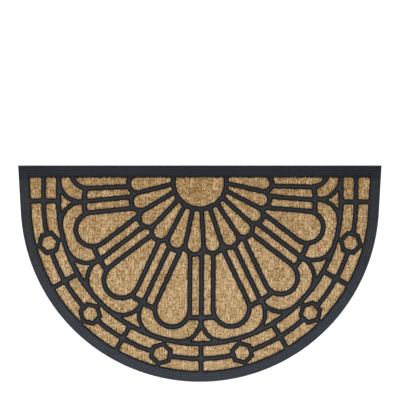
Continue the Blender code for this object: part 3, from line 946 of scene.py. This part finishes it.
class Solid:
    """Vertices and faces of one closed body, gathered level by level."""

    def __init__(self):
        self.vertices = []
        self.faces = []
        self.rounded = []
        self.wear = []

    def add(self, rows):
        """Points from rows of x, y, height, and wear with painted shade."""
        first = len(self.vertices)
        for x, y, height, wear in rows:
            self.vertices.append((x * MM, (y + CENTRE_Y) * MM, height * MM))
            self.wear.append(wear)
        return list(range(first, len(self.vertices)))

    def ring(self, outline, height, wear=0.0):
        return self.add([(p.x, p.y, height, wear) for p in outline])

    def wall(self, lower, upper, outwards):
        """A strip between two rings: outwards 1 faces away from their middle, -1 into it."""
        for i, c in enumerate(upper):
            quad = (lower[i - 1], lower[i], c, upper[i - 1])
            self.faces.append(quad if outwards == 1 else quad[::-1])
            self.rounded.append(True)

    def walls(self, outlines, section, outwards):
        """Strips up through the rows of a section, and the lowest and highest ring."""
        rings = [self.ring(points, row.height, row.wear) for points, row in zip(outlines, section)]
        for lower, upper in zip(rings, rings[1:]):
            self.wall(lower, upper, outwards)
        return rings[0], rings[-1]

    def plate(self, outer, holes, up, loose=()):
        """A face between an outer ring and holes, over loose points: up 1 faces up, -1 down."""
        rings = [outer] + holes
        indices = [index for ring in rings for index in ring] + list(loose)
        owner = [number for number, ring in enumerate(rings) for _ in ring]
        owner += [LOOSE] * len(loose)
        flat = [Vector(self.vertices[index][:2]) / MM for index in indices]
        edges = []
        polygons = []
        start = 0
        for ring in rings:
            size = len(ring)
            edges += [(start + i, start + (i + 1) % size) for i in range(size)]
            polygons.append(flat[start:start + size])
            start += size
        result = delaunay_2d_cdt(flat, edges, [], 1, TINY)
        source = [found[0] for found in result[3]]
        for face in result[2]:
            corners = [source[v] for v in face]
            owners = {owner[v] for v in corners}
            middle = sum((flat[v] for v in corners), C) / 3
            if LOOSE not in owners and len(owners) == 1:
                if inside(middle, polygons[owners.pop()]) != (owner[corners[0]] == 0):
                    continue
            triangle = tuple(indices[v] for v in corners)
            self.faces.append(triangle if up == 1 else triangle[::-1])
            self.rounded.append(len(loose) > 0)

    def finish(self, name):
        mesh = bpy.data.meshes.new(name)
        mesh.from_pydata(self.vertices, [], self.faces)
        mesh.polygons.foreach_set("use_smooth", self.rounded)
        mesh.update()
        mesh.attributes.new("wear", "FLOAT", "POINT").data.foreach_set("value", self.wear)
        return placed(name, mesh)


def border_section():
    """Rows of the ribbed bevel, from the border's outer lip in to the level land."""
    first = RIB_FIRST_CREST
    land = first + RIB_GROOVES * RIB_PITCH
    slope = (TRACERY_TOP - LIP_TOP) / land
    crest = LIP_TOP + slope * first / 2 + RIB_SWELL / 2
    section = list(LIP_SECTION) + [Row(first / 2, crest, CREST_WEAR)]
    for groove in range(RIB_GROOVES):
        for step in range(RIB_STEPS):
            share = step / RIB_STEPS
            inset = first + (groove + share) * RIB_PITCH
            dip = (0.5 - 0.5 * math.cos(2 * math.pi * share)) ** RIB_NARROWING
            swell = RIB_SWELL * (1 - share if groove == RIB_GROOVES - 1 else 1.0) / 2
            height = LIP_TOP + slope * inset + swell - RIB_DEPTH * dip
            # Painted shade darkens the grooves between the crests
            wear = CREST_WEAR + (GROOVE_WEAR_AND_SHADE - CREST_WEAR) * dip
            section.append(Row(inset, min(height, TRACERY_TOP), wear))
    return section + [Row(land, TRACERY_TOP, LAND_WEAR)]


def bar_tops(outline, edges):
    """Points over the tops of the bars and the land: x, y, height, and wear with painted shade."""
    rows = np.arange(-OUT_R, EDGE_RISE, CROWN_STEP)
    columns = np.arange(-EDGE_HALF, EDGE_HALF, CROWN_STEP)
    x, y = (grid.ravel() for grid in np.meshgrid(columns, rows))
    x = x + CROWN_STEP / 2 * (np.round((y + OUT_R) / CROWN_STEP) % 2)
    within = np.ones(len(x), bool)
    for i, b in enumerate(outline):
        a = outline[i - 1]
        normal = quarter_turn((b - a).normalized())
        within &= (x - a.x) * normal.x + (y - a.y) * normal.y > CROWN_MARGIN
    x, y = x[within], y[within]
    away = -edges.depth(x, y)
    over = away > CROWN_MARGIN - BAR_EDGE.inset
    x, y, away = x[over], y[over], away[over]
    # Painted shade: the bars' tops darker towards their edges, lighter in their middles
    share = smooth_step((away + BAR_EDGE.inset) / CROWN_REACH)
    wear = BAR_EDGE.wear + (TOP_WEAR - BAR_EDGE.wear) * share
    # Painted shadow along the straight border's inner strip
    straight = smooth_step((y - BORDER_Y - SHADE_NEAR) / (SHADE_FAR - SHADE_NEAR))
    wear = np.where(y > BORDER_Y, wear * (SHADE_WEAR + (1 - SHADE_WEAR) * straight), wear)
    return [(a, b, TRACERY_TOP, c) for a, b, c in zip(x, y, wear)]


def rubber_moulding(cells, edges):
    """Base sheet, ribbed border and tracery in one piece, with rounded edges."""
    section = border_section()
    outlines = mat_loops([row.inset for row in section] + [BORDER - TUCK])
    solid = Solid()
    bottom, top = solid.walls(outlines, section, 1)
    holes = [solid.walls(loops, WALL_SECTION, -1) for loops in cells]
    loose = solid.add(bar_tops(outlines[-2], edges))
    ceiling = solid.ring(outlines[-1], TRACERY_UNDER)
    floor = solid.ring(outlines[-1], BASE_TOP)
    solid.wall(floor, ceiling, -1)
    solid.plate(bottom, [], -1)
    solid.plate(top, [upper for lower, upper in holes], 1, loose)
    solid.plate(ceiling, [lower for lower, upper in holes], -1)
    solid.plate(floor, [], 1)
    return solid.finish("moulded_rubber")


def coir_ground(outline):
    """The thin mass of coir under the yarns, seen only in their gaps and dark with painted shade,
    and its area.
    """
    solid = Solid()
    bottom = solid.ring(outline, GROUND_LOW)
    top = solid.ring(outline, GROUND_HIGH)
    solid.plate(bottom, [], -1)
    solid.wall(bottom, top, 1)
    solid.plate(top, [], 1)
    doubled = sum(a.x * b.y - a.y * b.x for a, b in zip(outline[-1:] + outline, outline))
    return solid.finish("coir_ground"), abs(doubled) / 2 * MM * MM


class Edges:
    """The cells' edges as evenly spaced points, for telling how far a place is inside one."""

    def __init__(self, outlines):
        places = []
        normals = []
        for points in outlines:
            ring = np.array([(p.x, p.y) for p in points])
            for a, b in zip(ring, np.roll(ring, -1, axis=0)):
                length = np.linalg.norm(b - a)
                if length < TINY:
                    continue
                direction = (b - a) / length
                count = max(1, math.ceil(length / EDGE_SAMPLE))
                for i in range(count):
                    places.append(a + (b - a) * (i + 0.5) / count)
                    normals.append((-direction[1], direction[0]))
        self.places = np.array(places)
        self.normals = np.array(normals)
        self.tree = KDTree(len(places))
        for i, place in enumerate(places):
            self.tree.insert((place[0], place[1], 0.0), i)
        self.tree.balance()

    def depth(self, x, y):
        """Distance inside a cell from its edge, below 0 under a bar."""
        found = [self.tree.find((a, b, 0.0))[1] for a, b in zip(x, y)]
        away = np.stack([x, y], axis=1) - self.places[found]
        side = (away * self.normals[found]).sum(axis=1)
        return np.where(side > 0, 1.0, -1.0) * np.linalg.norm(away, axis=1)


def smooth_step(t):
    t = np.clip(t, 0.0, 1.0)
    return t * t * (3 - 2 * t)


def pressed(z, depth):
    """Heights with the coir pressed down beside and under the bars."""
    share = PRESS_SHARE * (1 - smooth_step(depth / PRESS_REACH))
    return PRESS_LEVEL + (z - PRESS_LEVEL) * (1 - share)


def weave_place(x, y):
    """A place across the warp and along it, from the middle of a warp float."""
    return x - WARP_LEAN * y - WEAVE_X0, y - WEAVE_Y0


def rise(c):
    """Height of a yarn along its float, from 1 on top to -1 underneath."""
    return np.tanh(FLOAT_FLATNESS * c) / math.tanh(FLOAT_FLATNESS)


def clipped(outline, start, direction):
    """The stretch of a straight line inside a convex outline, as two distances."""
    low, high = -math.inf, math.inf
    for i, b in enumerate(outline):
        a = outline[i - 1]
        normal = quarter_turn(b - a)
        speed = normal.dot(direction)
        gap = normal.dot(a - start)
        if abs(speed) < TINY:
            if gap > 0:
                return None
        elif speed > 0:
            low = max(low, gap / speed)
        else:
            high = min(high, gap / speed)
    return (low, high) if high - low > YARN_STEP else None


def wander(rng, distance, waves):
    """A slow random sway along a yarn: each wave is a length and a height."""
    total = np.zeros_like(distance)
    for length, height in waves:
        own = length * rng.uniform(WAVE_SHORTEST, WAVE_LONGEST)
        total += height * np.sin(2 * math.pi * distance / own + rng.uniform(0, 2 * math.pi))
    return total


def mesh_object(name, points, faces, marks):
    """An object from points about C, arrays of faces and named values of its points."""
    mesh = bpy.data.meshes.new(name)
    mesh.vertices.add(len(points))
    mesh.vertices.foreach_set("co", ((points + (0.0, CENTRE_Y, 0.0)) * MM).ravel())
    sizes = np.concatenate([np.full(len(block), block.shape[1]) for block in faces])
    mesh.loops.add(int(sizes.sum()))
    mesh.loops.foreach_set("vertex_index", np.concatenate([block.ravel() for block in faces]))
    mesh.polygons.add(len(sizes))
    mesh.polygons.foreach_set("loop_start", np.cumsum(sizes) - sizes)
    mesh.polygons.foreach_set("use_smooth", np.ones(len(sizes), bool))
    mesh.update(calc_edges=True)
    for mark, values in marks.items():
        mesh.attributes.new(mark, "FLOAT", "POINT").data.foreach_set("value", values)
    return placed(name, mesh)


def yarn_piece(name, yarns, edges):
    """Closed yarn tubes in one mesh, with a map of round and along.

    Each yarn is its centres, the direction level across it, its thickness as a share of the
    usual one, its lift from -1 to 1, its level, and its kind, tone and start.
    """
    k = np.arange(YARN_SIDES)
    turn = 2 * math.pi * (k + 0.5) / YARN_SIDES - math.pi / 2
    points, quads, places, caps, tones, dips = ([] for _ in range(6))
    first = 0
    for centre, side, fat, lift, level, kind, tone, start in yarns:
        rings = len(centre)
        reach = np.cos(turn) * (kind.half_width * fat)[:, None]
        xy = centre[:, None, :] + reach[:, :, None] * side
        z = level[:, None] + np.sin(turn) * (YARN_HALF_HEIGHT * fat)[:, None]
        points.append(np.concatenate([xy, z[:, :, None]], axis=2).reshape(-1, 3))
        distance = np.linalg.norm(np.diff(centre, axis=0, prepend=centre[:1]), axis=1).cumsum()
        corners = []
        for around, on in ((1, 0), (1, 1), (0, 1), (0, 0)):
            ring = np.arange(on, rings - 1 + on)[:, None]
            layers = np.broadcast_arrays(
                first + ring * YARN_SIDES + (k + around) % YARN_SIDES,
                (k + around) / YARN_SIDES,
                distance[ring] + start,
            )
            corners.append(np.stack(layers, axis=2))
        corners = np.stack(corners, axis=2)
        quads.append(corners[..., 0].astype(int).reshape(-1, 4))
        places.append(corners[..., 1:].reshape(-1, 2))
        caps += [k + first, k[::-1] + first + (rings - 1) * YARN_SIDES]
        tones.append(np.full(rings * YARN_SIDES, tone))
        dips.append(np.repeat((1 - lift) / 2, YARN_SIDES))
        first += rings * YARN_SIDES
    points = np.concatenate(points)
    depth = edges.depth(points[:, 0], points[:, 1])
    points[:, 2] = pressed(points[:, 2], depth)
    marks = {
        "tone": np.concatenate(tones),
        "dip": np.concatenate(dips),
        "rim": 1 - smooth_step(depth / RIM_REACH),
    }
    thing = mesh_object(name, points, [np.concatenate(quads), np.stack(caps)], marks)
    flat = np.concatenate(places + [np.zeros((len(caps) * YARN_SIDES, 2))])
    thing.data.uv_layers.new(name="yarn").data.foreach_set("uv", flat.ravel())
    return thing


def laid_yarns(name, kind, outline, edges, rng):
    """The warp or the weft in two pieces, each with every other yarn."""
    warp = kind is WARP
    halves = ([], [])
    heading = Vector((WARP_LEAN, 1.0)).normalized() if warp else Vector((1.0, 0.0))
    side = np.array(quarter_turn(heading))
    last = math.ceil(kind.extent / (kind.repeat / 4))
    for number in range(-last, last + 1):
        pair, second = divmod(number, 2)
        place = pair * kind.repeat / 2 + kind.shift + (second - 0.5) * kind.pitch
        place += rng.normal(0, kind.jitter)
        start = YARN_START * rng.uniform(0, 1)
        looks = rng.normal(0, 1, kind.chances)
        origin = Vector((place + WEAVE_X0, 0.0) if warp else (0.0, place + WEAVE_Y0))
        found = clipped(outline, origin, heading)
        if found is None:
            continue
        t = np.linspace(*found, math.ceil((found[1] - found[0]) / YARN_STEP) + 1)
        x = origin.x + t * heading.x
        y = origin.y + t * heading.y
        across, along = weave_place(x, y)
        sign = 1.0 if (pair % 2 == 0) == warp else -1.0
        lift = rise(sign * np.cos(2 * math.pi * (along if warp else across) / kind.run))
        level = kind.level + YARN_SWING * lift + wander(rng, t, kind.rising)
        sway = wander(rng, t, kind.swaying)
        centre = np.stack([x + sway, y] if warp else [x, y + sway], axis=1)
        fat = 1.0 + wander(rng, t, kind.swelling)
        tone = np.clip(kind.tone + TONE_SPREAD * looks[0], 0, 1)
        halves[number % 2].append((centre, side, fat, lift, level, kind, tone, start))
    return [yarn_piece(f"{name}_{i}", half, edges) for i, half in enumerate(halves, 1)]


def surface(x, y):
    """Height of the woven surface at a place, and whether a warp float shows there."""
    across, along = weave_place(x, y)
    weft_run = np.cos(2 * math.pi * across / WEAVE_X)
    warp_run = np.cos(2 * math.pi * along / WEAVE_Y)
    warp = weft_run * warp_run > 0
    off_warp = np.abs((across / WARP.pitch) % 1.0 - 0.5) * WARP.pitch
    off_pair = ((along - WEFT.shift) / (WEAVE_Y / 2) + 0.5) % 1.0 - 0.5
    off_weft = np.abs(np.abs(off_pair) * WEAVE_Y / 2 - WEFT.pitch / 2)
    reach = np.where(warp, off_warp / WARP.half_width, off_weft / WEFT.half_width)
    crown = YARN_HALF_HEIGHT * np.sqrt(np.clip(1 - reach ** 2, 0, 1))
    run = np.abs(np.where(warp, warp_run, weft_run))
    level = np.where(warp, WARP.level, WEFT.level) + YARN_SWING * rise(run)
    return level + crown, warp


def loose_fibres(edges, rng):
    """Fine stiff fibres that stand off the yarns, mostly along them, in two pieces."""
    wanted = int(FIBRES * FIBRE_TRIES)
    x = rng.uniform(-COURSE_2_OUT, COURSE_2_OUT, wanted * 2)
    y = rng.uniform(-COURSE_2_OUT, BORDER_Y, wanted * 2)
    keep = np.hypot(x, y) < COURSE_2_OUT + FIBRE_FLARE
    x, y = x[keep][:wanted], y[keep][:wanted]
    deep = edges.depth(x, y) > FIBRE_MARGIN
    x, y = x[deep], y[deep]
    count = len(x)
    warp = surface(x, y)[1]
    angle = np.where(warp, math.pi / 2 + FIBRE_SLANT, FIBRE_SLANT)
    angle = angle + rng.normal(0, FIBRE_SPREAD, count)
    stray = rng.random(count) < FIBRE_STRAYS
    angle = np.where(stray, rng.uniform(0, math.pi, count), angle)
    length = rng.lognormal(math.log(FIBRE_LENGTH), FIBRE_LENGTH_SPREAD, count)
    length = np.clip(length, *FIBRE_BOUNDS)[:, None]
    steps = np.linspace(-0.5, 0.5, FIBRE_POINTS)
    heading = angle[:, None] + rng.normal(0, FIBRE_BEND, count)[:, None] * steps
    px = x[:, None] + np.cos(heading) * steps * length
    py = y[:, None] + np.sin(heading) * steps * length
    depth = edges.depth(px.ravel(), py.ravel()).reshape(px.shape)
    top = surface(px, py)[0]
    good = (depth > FIBRE_MARGIN / 2).all(axis=1) & (top.min(axis=1) > FIBRE_GROUND)
    arch = np.clip(rng.exponential(FIBRE_ARCH, count), 0, FIBRE_ARCH_MOST)[:, None]
    lean = rng.uniform(-0.5, 0.5, count)[:, None]
    bow = FIBRE_END_ARCH + lean * steps * 2 + (1 - FIBRE_END_ARCH) * (1 - 4 * steps ** 2)
    ground = np.maximum(top, top.mean(axis=1)[:, None] - FIBRE_SAG)
    z = pressed(ground + np.clip(FIBRE_LIFT + arch * bow, *FIBRE_LIFTS), depth)
    roll = np.broadcast_to(rng.normal(0, FIBRE_ROLL, count)[:, None], px.shape)
    width = FIBRE_WIDTH * rng.uniform(*FIBRE_WIDTHS, count)[:, None] * FIBRE_TAPER
    side = np.stack([-np.sin(heading), np.cos(heading), roll], axis=2) * width[:, :, None] / 2
    paler = np.where(warp, FIBRE_TONE_STEP, -FIBRE_TONE_STEP)
    tone = np.clip(rng.normal(FIBRE_TONE, FIBRE_TONE_SPREAD, count) + paler, 0, 1)
    middle = np.stack([px, py, z], axis=2)
    kept = [values[good][:FIBRES] for values in (middle, side, tone)]
    middle, side, tone = (np.concatenate(pair) for pair in zip(kept, frayed_ends(edges, rng)))
    half = len(middle) // 2
    pieces = []
    for name, part in (("loose_fibres_1", slice(half)), ("loose_fibres_2", slice(half, None))):
        pieces.append(fibre_mesh(name, middle[part], side[part], tone[part]))
    return pieces


def frayed_ends(edges, rng):
    """Short fibre ends that lap up over the straight border's inner edge."""
    x = rng.uniform(-COURSE_2_OUT, COURSE_2_OUT, FRAYED)
    x = x[edges.depth(x, np.full(FRAYED, BORDER_Y - FRAY_BACK)) > FRAY_BACK / 2]
    count = len(x)
    reach = rng.uniform(*FRAY_REACHES, count)
    back = np.full(count, -FRAY_BACK)
    past = np.stack([back, 0 * reach, FRAY_SHOULDER * reach, reach], axis=1)
    lean = rng.normal(0, FRAY_LEAN, count)[:, None]
    px = x[:, None] + lean * (past + FRAY_BACK)
    rows = WALL_SECTION[::-1]
    wall = np.interp(-past, [row.inset for row in rows], [row.height for row in rows])
    steps = np.linspace(0.0, 1.0, FIBRE_POINTS)
    lift = FRAY_LIFT + rng.uniform(0.0, FRAY_RISE, count)[:, None] * steps
    middle = np.stack([px, BORDER_Y + past, np.maximum(wall, PRESSED_COIR) + lift], axis=2)
    width = FIBRE_WIDTH * rng.uniform(*FRAY_WIDTHS, count)[:, None] * FRAY_TAPER
    side = width[:, :, None] / 2 * (1.0, 0.0, 0.0)
    return middle, side, rng.uniform(*FRAY_TONES, count)


def fibre_mesh(name, middle, side, tone):
    """Flat fibres, each a ribbon with its sides either side of its middle line."""
    points = np.stack([middle - side, middle + side], axis=2).reshape(-1, 3)
    starts = np.arange(len(middle))[:, None] * 2 * FIBRE_POINTS
    first = starts + np.arange(FIBRE_POINTS - 1) * 2
    quads = np.stack([first, first + 1, first + 3, first + 2], axis=2).reshape(-1, 4)
    return mesh_object(name, points, [quads], {"tone": np.repeat(tone, 2 * FIBRE_POINTS)})


class Nodes:
    """Shorthand for wiring a material."""

    def __init__(self, name):
        self.material = bpy.data.materials.new(name)
        self.material.use_nodes = True
        self.tree = self.material.node_tree

    def finish(self, looks):
        """The material, with values or sockets put on its shader's inputs."""
        shader = self.tree.nodes["Principled BSDF"]
        for key, value in looks.items():
            self.put(shader.inputs[key], value)
        return self.material

    def add(self, kind, values=None, **settings):
        node = self.tree.nodes.new(kind)
        for key, value in settings.items():
            setattr(node, key, value)
        for key, value in (values or {}).items():
            self.put(node.inputs[key], value)
        return node

    def put(self, socket, value):
        if isinstance(value, bpy.types.NodeSocket):
            self.tree.links.new(value, socket)
        else:
            socket.default_value = value

    def place(self):
        return self.add("ShaderNodeTexCoord").outputs["Object"]

    def mark(self, name):
        return self.add("ShaderNodeAttribute", attribute_name=name).outputs["Fac"]

    def split(self, vector):
        return self.add("ShaderNodeSeparateXYZ", {0: vector}).outputs

    def vector(self, x, y, z):
        return self.add("ShaderNodeCombineXYZ", {0: x, 1: y, 2: z}).outputs[0]

    def math(self, operation, a, b=0.0, clamp=False):
        values = {0: a, 1: b}
        return self.add("ShaderNodeMath", values, operation=operation, use_clamp=clamp).outputs[0]

    def times(self, a, b, clamp=False):
        return self.math("MULTIPLY", a, b, clamp)

    def total(self, first, *others):
        for other in others:
            first = self.math("ADD", first, other)
        return first

    def distance(self, spot, x, y):
        """Distance along the floor from a place to a spot, split into x, y and z."""
        values = {0: self.vector(spot[0], spot[1], 0.0), 1: (x, y, 0.0)}
        return self.add("ShaderNodeVectorMath", values, operation="DISTANCE").outputs["Value"]

    def noise(self, vector, scale, detail=2.0, roughness=0.5):
        values = {"Vector": vector, "Scale": scale, "Detail": detail, "Roughness": roughness}
        return self.add("ShaderNodeTexNoise", values).outputs["Fac"]

    def span(self, value, low, high, new_low=0.0, new_high=1.0, smooth=False, clamp=True):
        """A value between two others, as one between two new ones."""
        values = {0: value, 1: low, 2: high, 3: new_low, 4: new_high}
        kind = "SMOOTHSTEP" if smooth else "LINEAR"
        node = self.add("ShaderNodeMapRange", values, interpolation_type=kind, clamp=clamp)
        return node.outputs["Result"]

    def spread(self, noise, low, high):
        """A noise over its usual range, as a value between two others."""
        return self.span(noise, NOISE_LOW, NOISE_HIGH, low, high)

    def swing(self, noise, share, middle=0.0):
        """A noise as a value that swings about a middle, and isn't held to its usual range."""
        ends = (middle - share / 2, middle + share / 2)
        return self.span(noise, NOISE_LOW, NOISE_HIGH, *ends, clamp=False)

    def mix(self, factor, a, b, blend="MIX"):
        values = {0: factor, 6: a, 7: b}
        return self.add("ShaderNodeMix", values, data_type="RGBA", blend_type=blend).outputs[2]

    def tinted(self, colour, tint):
        return self.mix(1.0, colour, tint, "MULTIPLY")

    def bump(self, height, strength, distance, normal=None):
        values = {"Height": height, "Strength": strength, "Distance": distance}
        if normal is not None:
            values["Normal"] = normal
        return self.add("ShaderNodeBump", values).outputs["Normal"]


def rubber_material():
    """Black moulded rubber: painted shade in its hollows, dust and bluish painted sheen on its
    tops.
    """
    n = Nodes("dusty_black_rubber")
    place = n.place()
    spot = n.split(place)
    facing = n.split(n.add("ShaderNodeNewGeometry").outputs["True Normal"])
    wear = n.mark("wear")
    cloud = n.noise(place, scale=110.0, detail=3.0, roughness=0.6)
    from_hub = n.distance(spot, 0.0, (HUB_RISE + CENTRE_Y) * MM)
    dust_and_light = n.total(
        n.spread(n.noise(place, scale=9.0), -BROAD_DUST, BROAD_DUST),
        n.spread(cloud, -CLOUD_DUST, CLOUD_DUST),
        # Painted light: slopes facing the round side lighter, those facing the straight side
        # darker
        n.span(facing[1], -STEEP, STEEP, SLOPE_LIGHT, -SLOPE_LIGHT, clamp=False),
        n.span(from_hub, HUB_CLEAN_NEAR, HUB_CLEAN_FAR, -HUB_CLEAN, 0.0, smooth=True),
        # Painted light: paler towards the round side, darker towards the straight side
        n.span(spot[1], RUBBER_LIGHT_FROM, RUBBER_LIGHT_TO, -RUBBER_PAINTED_LIGHT, RUBBER_PAINTED_LIGHT, clamp=False),
        RUBBER_DUSTINESS,
    )
    wear_and_light = n.times(wear, dust_and_light, clamp=True)
    # Painted shade near black where the value is low, bluish painted sheen with dust where it is
    # high
    colour = n.mix(n.span(wear_and_light, 0.0, NEUTRAL_WEAR), RUBBER_DEEP_SHADE, RUBBER_MID)
    colour = n.mix(n.span(wear_and_light, NEUTRAL_WEAR, 1.0), colour, RUBBER_DUST_AND_SHEEN)
    # Painted shade: the straight border darker and bluer
    door_shade = n.mix(n.span(spot[1], DOOR_SHADE_NEAR, DOOR_SHADE_FAR, smooth=True), NO_TINT, DOOR_SHADE_TINT)
    fine = n.noise(place, MOTTLE_SCALE, roughness=0.6)
    mottle = n.swing(fine, 2 * MOTTLE_SHARE, middle=1.0)
    colour = n.tinted(n.tinted(colour, door_shade), n.vector(mottle, mottle, mottle))
    speck = n.noise(place, scale=700.0, detail=1.0)
    flecks = n.times(n.span(speck, FLECK_FROM, FLECK_TO, smooth=True), FLECK_SHARE)
    grain = n.bump(n.noise(place, scale=1500.0), strength=0.22, distance=0.00025)
    return n.finish({
        "Base Color": n.mix(n.times(flecks, wear), colour, RUBBER_DUST),
        "Roughness": n.spread(cloud, *RUBBER_ROUGHNESS),
        "Specular IOR Level": RUBBER_SHEEN,
        "Normal": n.bump(cloud, strength=0.25, distance=0.0008, normal=grain),
    })


def coir_colour(n, shade, pale, spot):
    """Colour of coir from its lightness, a little redder or greener from place to place."""
    colour = n.mix(n.span(shade, 0.0, 0.5), COIR_DARK, COIR_MID)
    colour = n.mix(n.span(shade, 0.5, 1.0), colour, pale)
    hue = n.noise(n.vector(spot[0], spot[1], 1.0), HUE_SCALE)
    return n.tinted(colour, n.mix(n.span(hue, HUE_FROM, HUE_TO), WARM_TINT, COOL_TINT))


def coir_lightness(n, spot, grain, tone, tone_share):
    """Lightness of coir at a spot, from all but the yarn's own streaks, and its tufts alone."""
    across = n.total(spot[0], n.times(spot[1], GRAIN_LEAN * grain[1]))
    tuft_place = n.vector(n.times(across, grain[0]), n.times(spot[1], grain[1]), 0.0)
    tufts = n.noise(tuft_place, GRAIN_SCALE, detail=1.0)
    region = n.noise(n.vector(spot[0], spot[1], 0.0), REGION_SCALE)
    shade = n.total(
        # Painted light: paler towards the round side
        n.span(spot[1], COIR_LIGHT_FROM, COIR_LIGHT_TO, COIR_SHADE_FROM, COIR_SHADE_TO),
        n.span(tone, 0.0, 1.0, -tone_share / 2, tone_share / 2),
        n.swing(tufts, GRAIN_SHARE),
        n.swing(region, REGION_SHARE),
    )
    for stain in STAINS.values():
        away = n.distance(spot, stain.x, stain.y)
        dark = n.span(away, 0.0, stain.reach, stain.depth, 0.0, smooth=True)
        shade = n.math("SUBTRACT", shade, dark)
    return shade, tufts


def yarn_material(name, grain):
    """Twisted coir yarn: long fibre streaks that wind round it, over ply grooves."""
    n = Nodes(name)
    turn, along = n.split(n.add("ShaderNodeUVMap", uv_map="yarn").outputs["UV"])[:2]
    tone, dip, rim = (n.mark(mark) for mark in ("tone", "dip", "rim"))
    wound = n.total(n.times(turn, ROUND_SCALE), n.times(along, TWIST))
    key = n.times(tone, TONE_KEY)
    fine, coarse = (
        n.noise(
            n.vector(wound, n.times(along, kind.along), key), kind.scale, roughness=kind.roughness
        )
        for kind in (FINE, COARSE)
    )
    spot = n.split(n.place())
    lightness, tufts = coir_lightness(n, spot, grain, tone, TONE_SHARE)
    shade = n.total(
        lightness,
        n.swing(fine, FINE.share),
        n.swing(coarse, COARSE.share),
        # Painted shade where the yarn dips under the crossing yarns
        n.times(dip, -DIP_SHADE),
        # Painted shade along the bars
        n.times(rim, -RIM_SHADE),
    )
    dust_and_light = n.tinted(coir_colour(n, shade, COIR_PALE, spot), n.mix(rim, NO_TINT, RIM_TINT))
    # Painted shade: the coir darker low down in the gaps
    low = n.span(spot[2], GAP_LOW, GAP_HIGH, GAP_SHADE_SHARE, 0.0, smooth=True)
    ply = n.math("SINE", n.times(wound, 2 * math.pi * PLIES / ROUND_SCALE))
    grooves = n.bump(ply, strength=0.3, distance=0.0005)
    return n.finish({
        "Base Color": n.mix(low, dust_and_light, COIR_GAP_SHADE),
        "Roughness": YARN_ROUGHNESS,
        "Specular IOR Level": YARN_SHEEN,
        "Normal": n.bump(n.total(fine, tufts), strength=0.6, distance=0.0006, normal=grooves),
    })


def fibre_material():
    """Single coir fibres, from dark brown to pale straw."""
    n = Nodes("coir_fibre")
    spot = n.split(n.place())
    shade = coir_lightness(n, spot, FIBRE_GRAIN, n.mark("tone"), FIBRE_TONE_SHARE)[0]
    return n.finish({
        "Base Color": coir_colour(n, shade, FIBRE_PALE, spot),
        "Roughness": FIBRE_ROUGHNESS,
        "Specular IOR Level": FIBRE_SHEEN,
    })


def ground_material():
    """The shaded depth between the yarns."""
    n = Nodes("coir_depth")
    tone = n.noise(n.place(), scale=700.0, detail=3.0)
    return n.finish({
        "Base Color": n.mix(n.spread(tone, 0.0, 1.0), COIR_GAP_SHADE, COIR_DARK),
        "Roughness": GROUND_ROUGHNESS,
        "Normal": n.bump(tone, strength=0.6, distance=0.0008),
    })


def floor_material():
    n = Nodes("pale_floor")
    return n.finish({
        "Base Color": n.mix(n.noise(n.place(), scale=3.0), FLOOR_A, FLOOR_B),
        "Roughness": FLOOR_ROUGHNESS,
        "Emission Color": FLOOR_A,
        "Emission Strength": FLOOR_GLOW,
    })


def studio():
    """A plain pale floor and soft pale light, strongest from the straight edge's side."""
    scene = bpy.context.scene
    mesh = bpy.data.meshes.new("floor")
    r = FLOOR_HALF
    mesh.from_pydata([(-r, -r, 0), (r, -r, 0), (r, r, 0), (-r, r, 0)], [], [(0, 1, 2, 3)])
    mesh.materials.append(floor_material())
    floor = placed("floor", mesh)
    floor.location = (0.0, 0.0, FLOOR_LEVEL)
    world = bpy.data.worlds.new("studio")
    world.use_nodes = True
    sky = world.node_tree.nodes["Background"]
    sky.inputs["Color"].default_value = SKY_COLOUR
    sky.inputs["Strength"].default_value = SKY_STRENGTH
    scene.world = world
    for name, place, size, power in LAMPS:
        data = bpy.data.lights.new(name, "AREA")
        data.shape = "RECTANGLE"
        data.size, data.size_y = size
        data.energy = power
        lamp = placed(name, data)
        lamp.location = place
        lamp.rotation_euler = (-Vector(place)).to_track_quat("-Z", "Y").to_euler()
    data = bpy.data.cameras.new("camera")
    data.sensor_width = SENSOR
    data.lens = LENS
    data.clip_end = FURTHEST
    camera = placed("camera", data)
    camera.location = (VIEW_X, VIEW_Y, VIEW_LEVEL + VIEW_WIDTH * LENS / SENSOR)
    scene.camera = camera
    scene.view_settings.view_transform = "Standard"
    scene.view_settings.look = "None"


def main():
    rng = np.random.default_rng(SEED)
    studio()
    cells = cell_loops(tuple(row.inset for row in WALL_SECTION))
    edges = Edges([loops[0] for loops in cells])
    outline = mat_loops([BORDER - TUCK + YARN_END_INSET])[0]

    rubber = rubber_moulding(cells, edges)
    rubber.data.materials.append(rubber_material())
    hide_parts("rubber_moulding")
    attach(rubber, "root")

    ground, area = coir_ground(outline)
    ground.data.materials.append(ground_material())
    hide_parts("coir_panel")
    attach(ground, "root")

    warps = laid_yarns("warp_yarns", WARP, outline, edges, rng)
    wefts = laid_yarns("weft_yarns", WEFT, outline, edges, rng)
    fibres = loose_fibres(edges, rng)
    for things, look in (
        (warps, yarn_material("coir_warp_yarn", WARP_GRAIN)),
        (wefts, yarn_material("coir_weft_yarn", WEFT_GRAIN)),
        (fibres, fibre_material()),
    ):
        for thing in things:
            thing.data.materials.append(look)
    pieces = warps + wefts + fibres
    for thing in pieces:
        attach(thing, "root")


main()
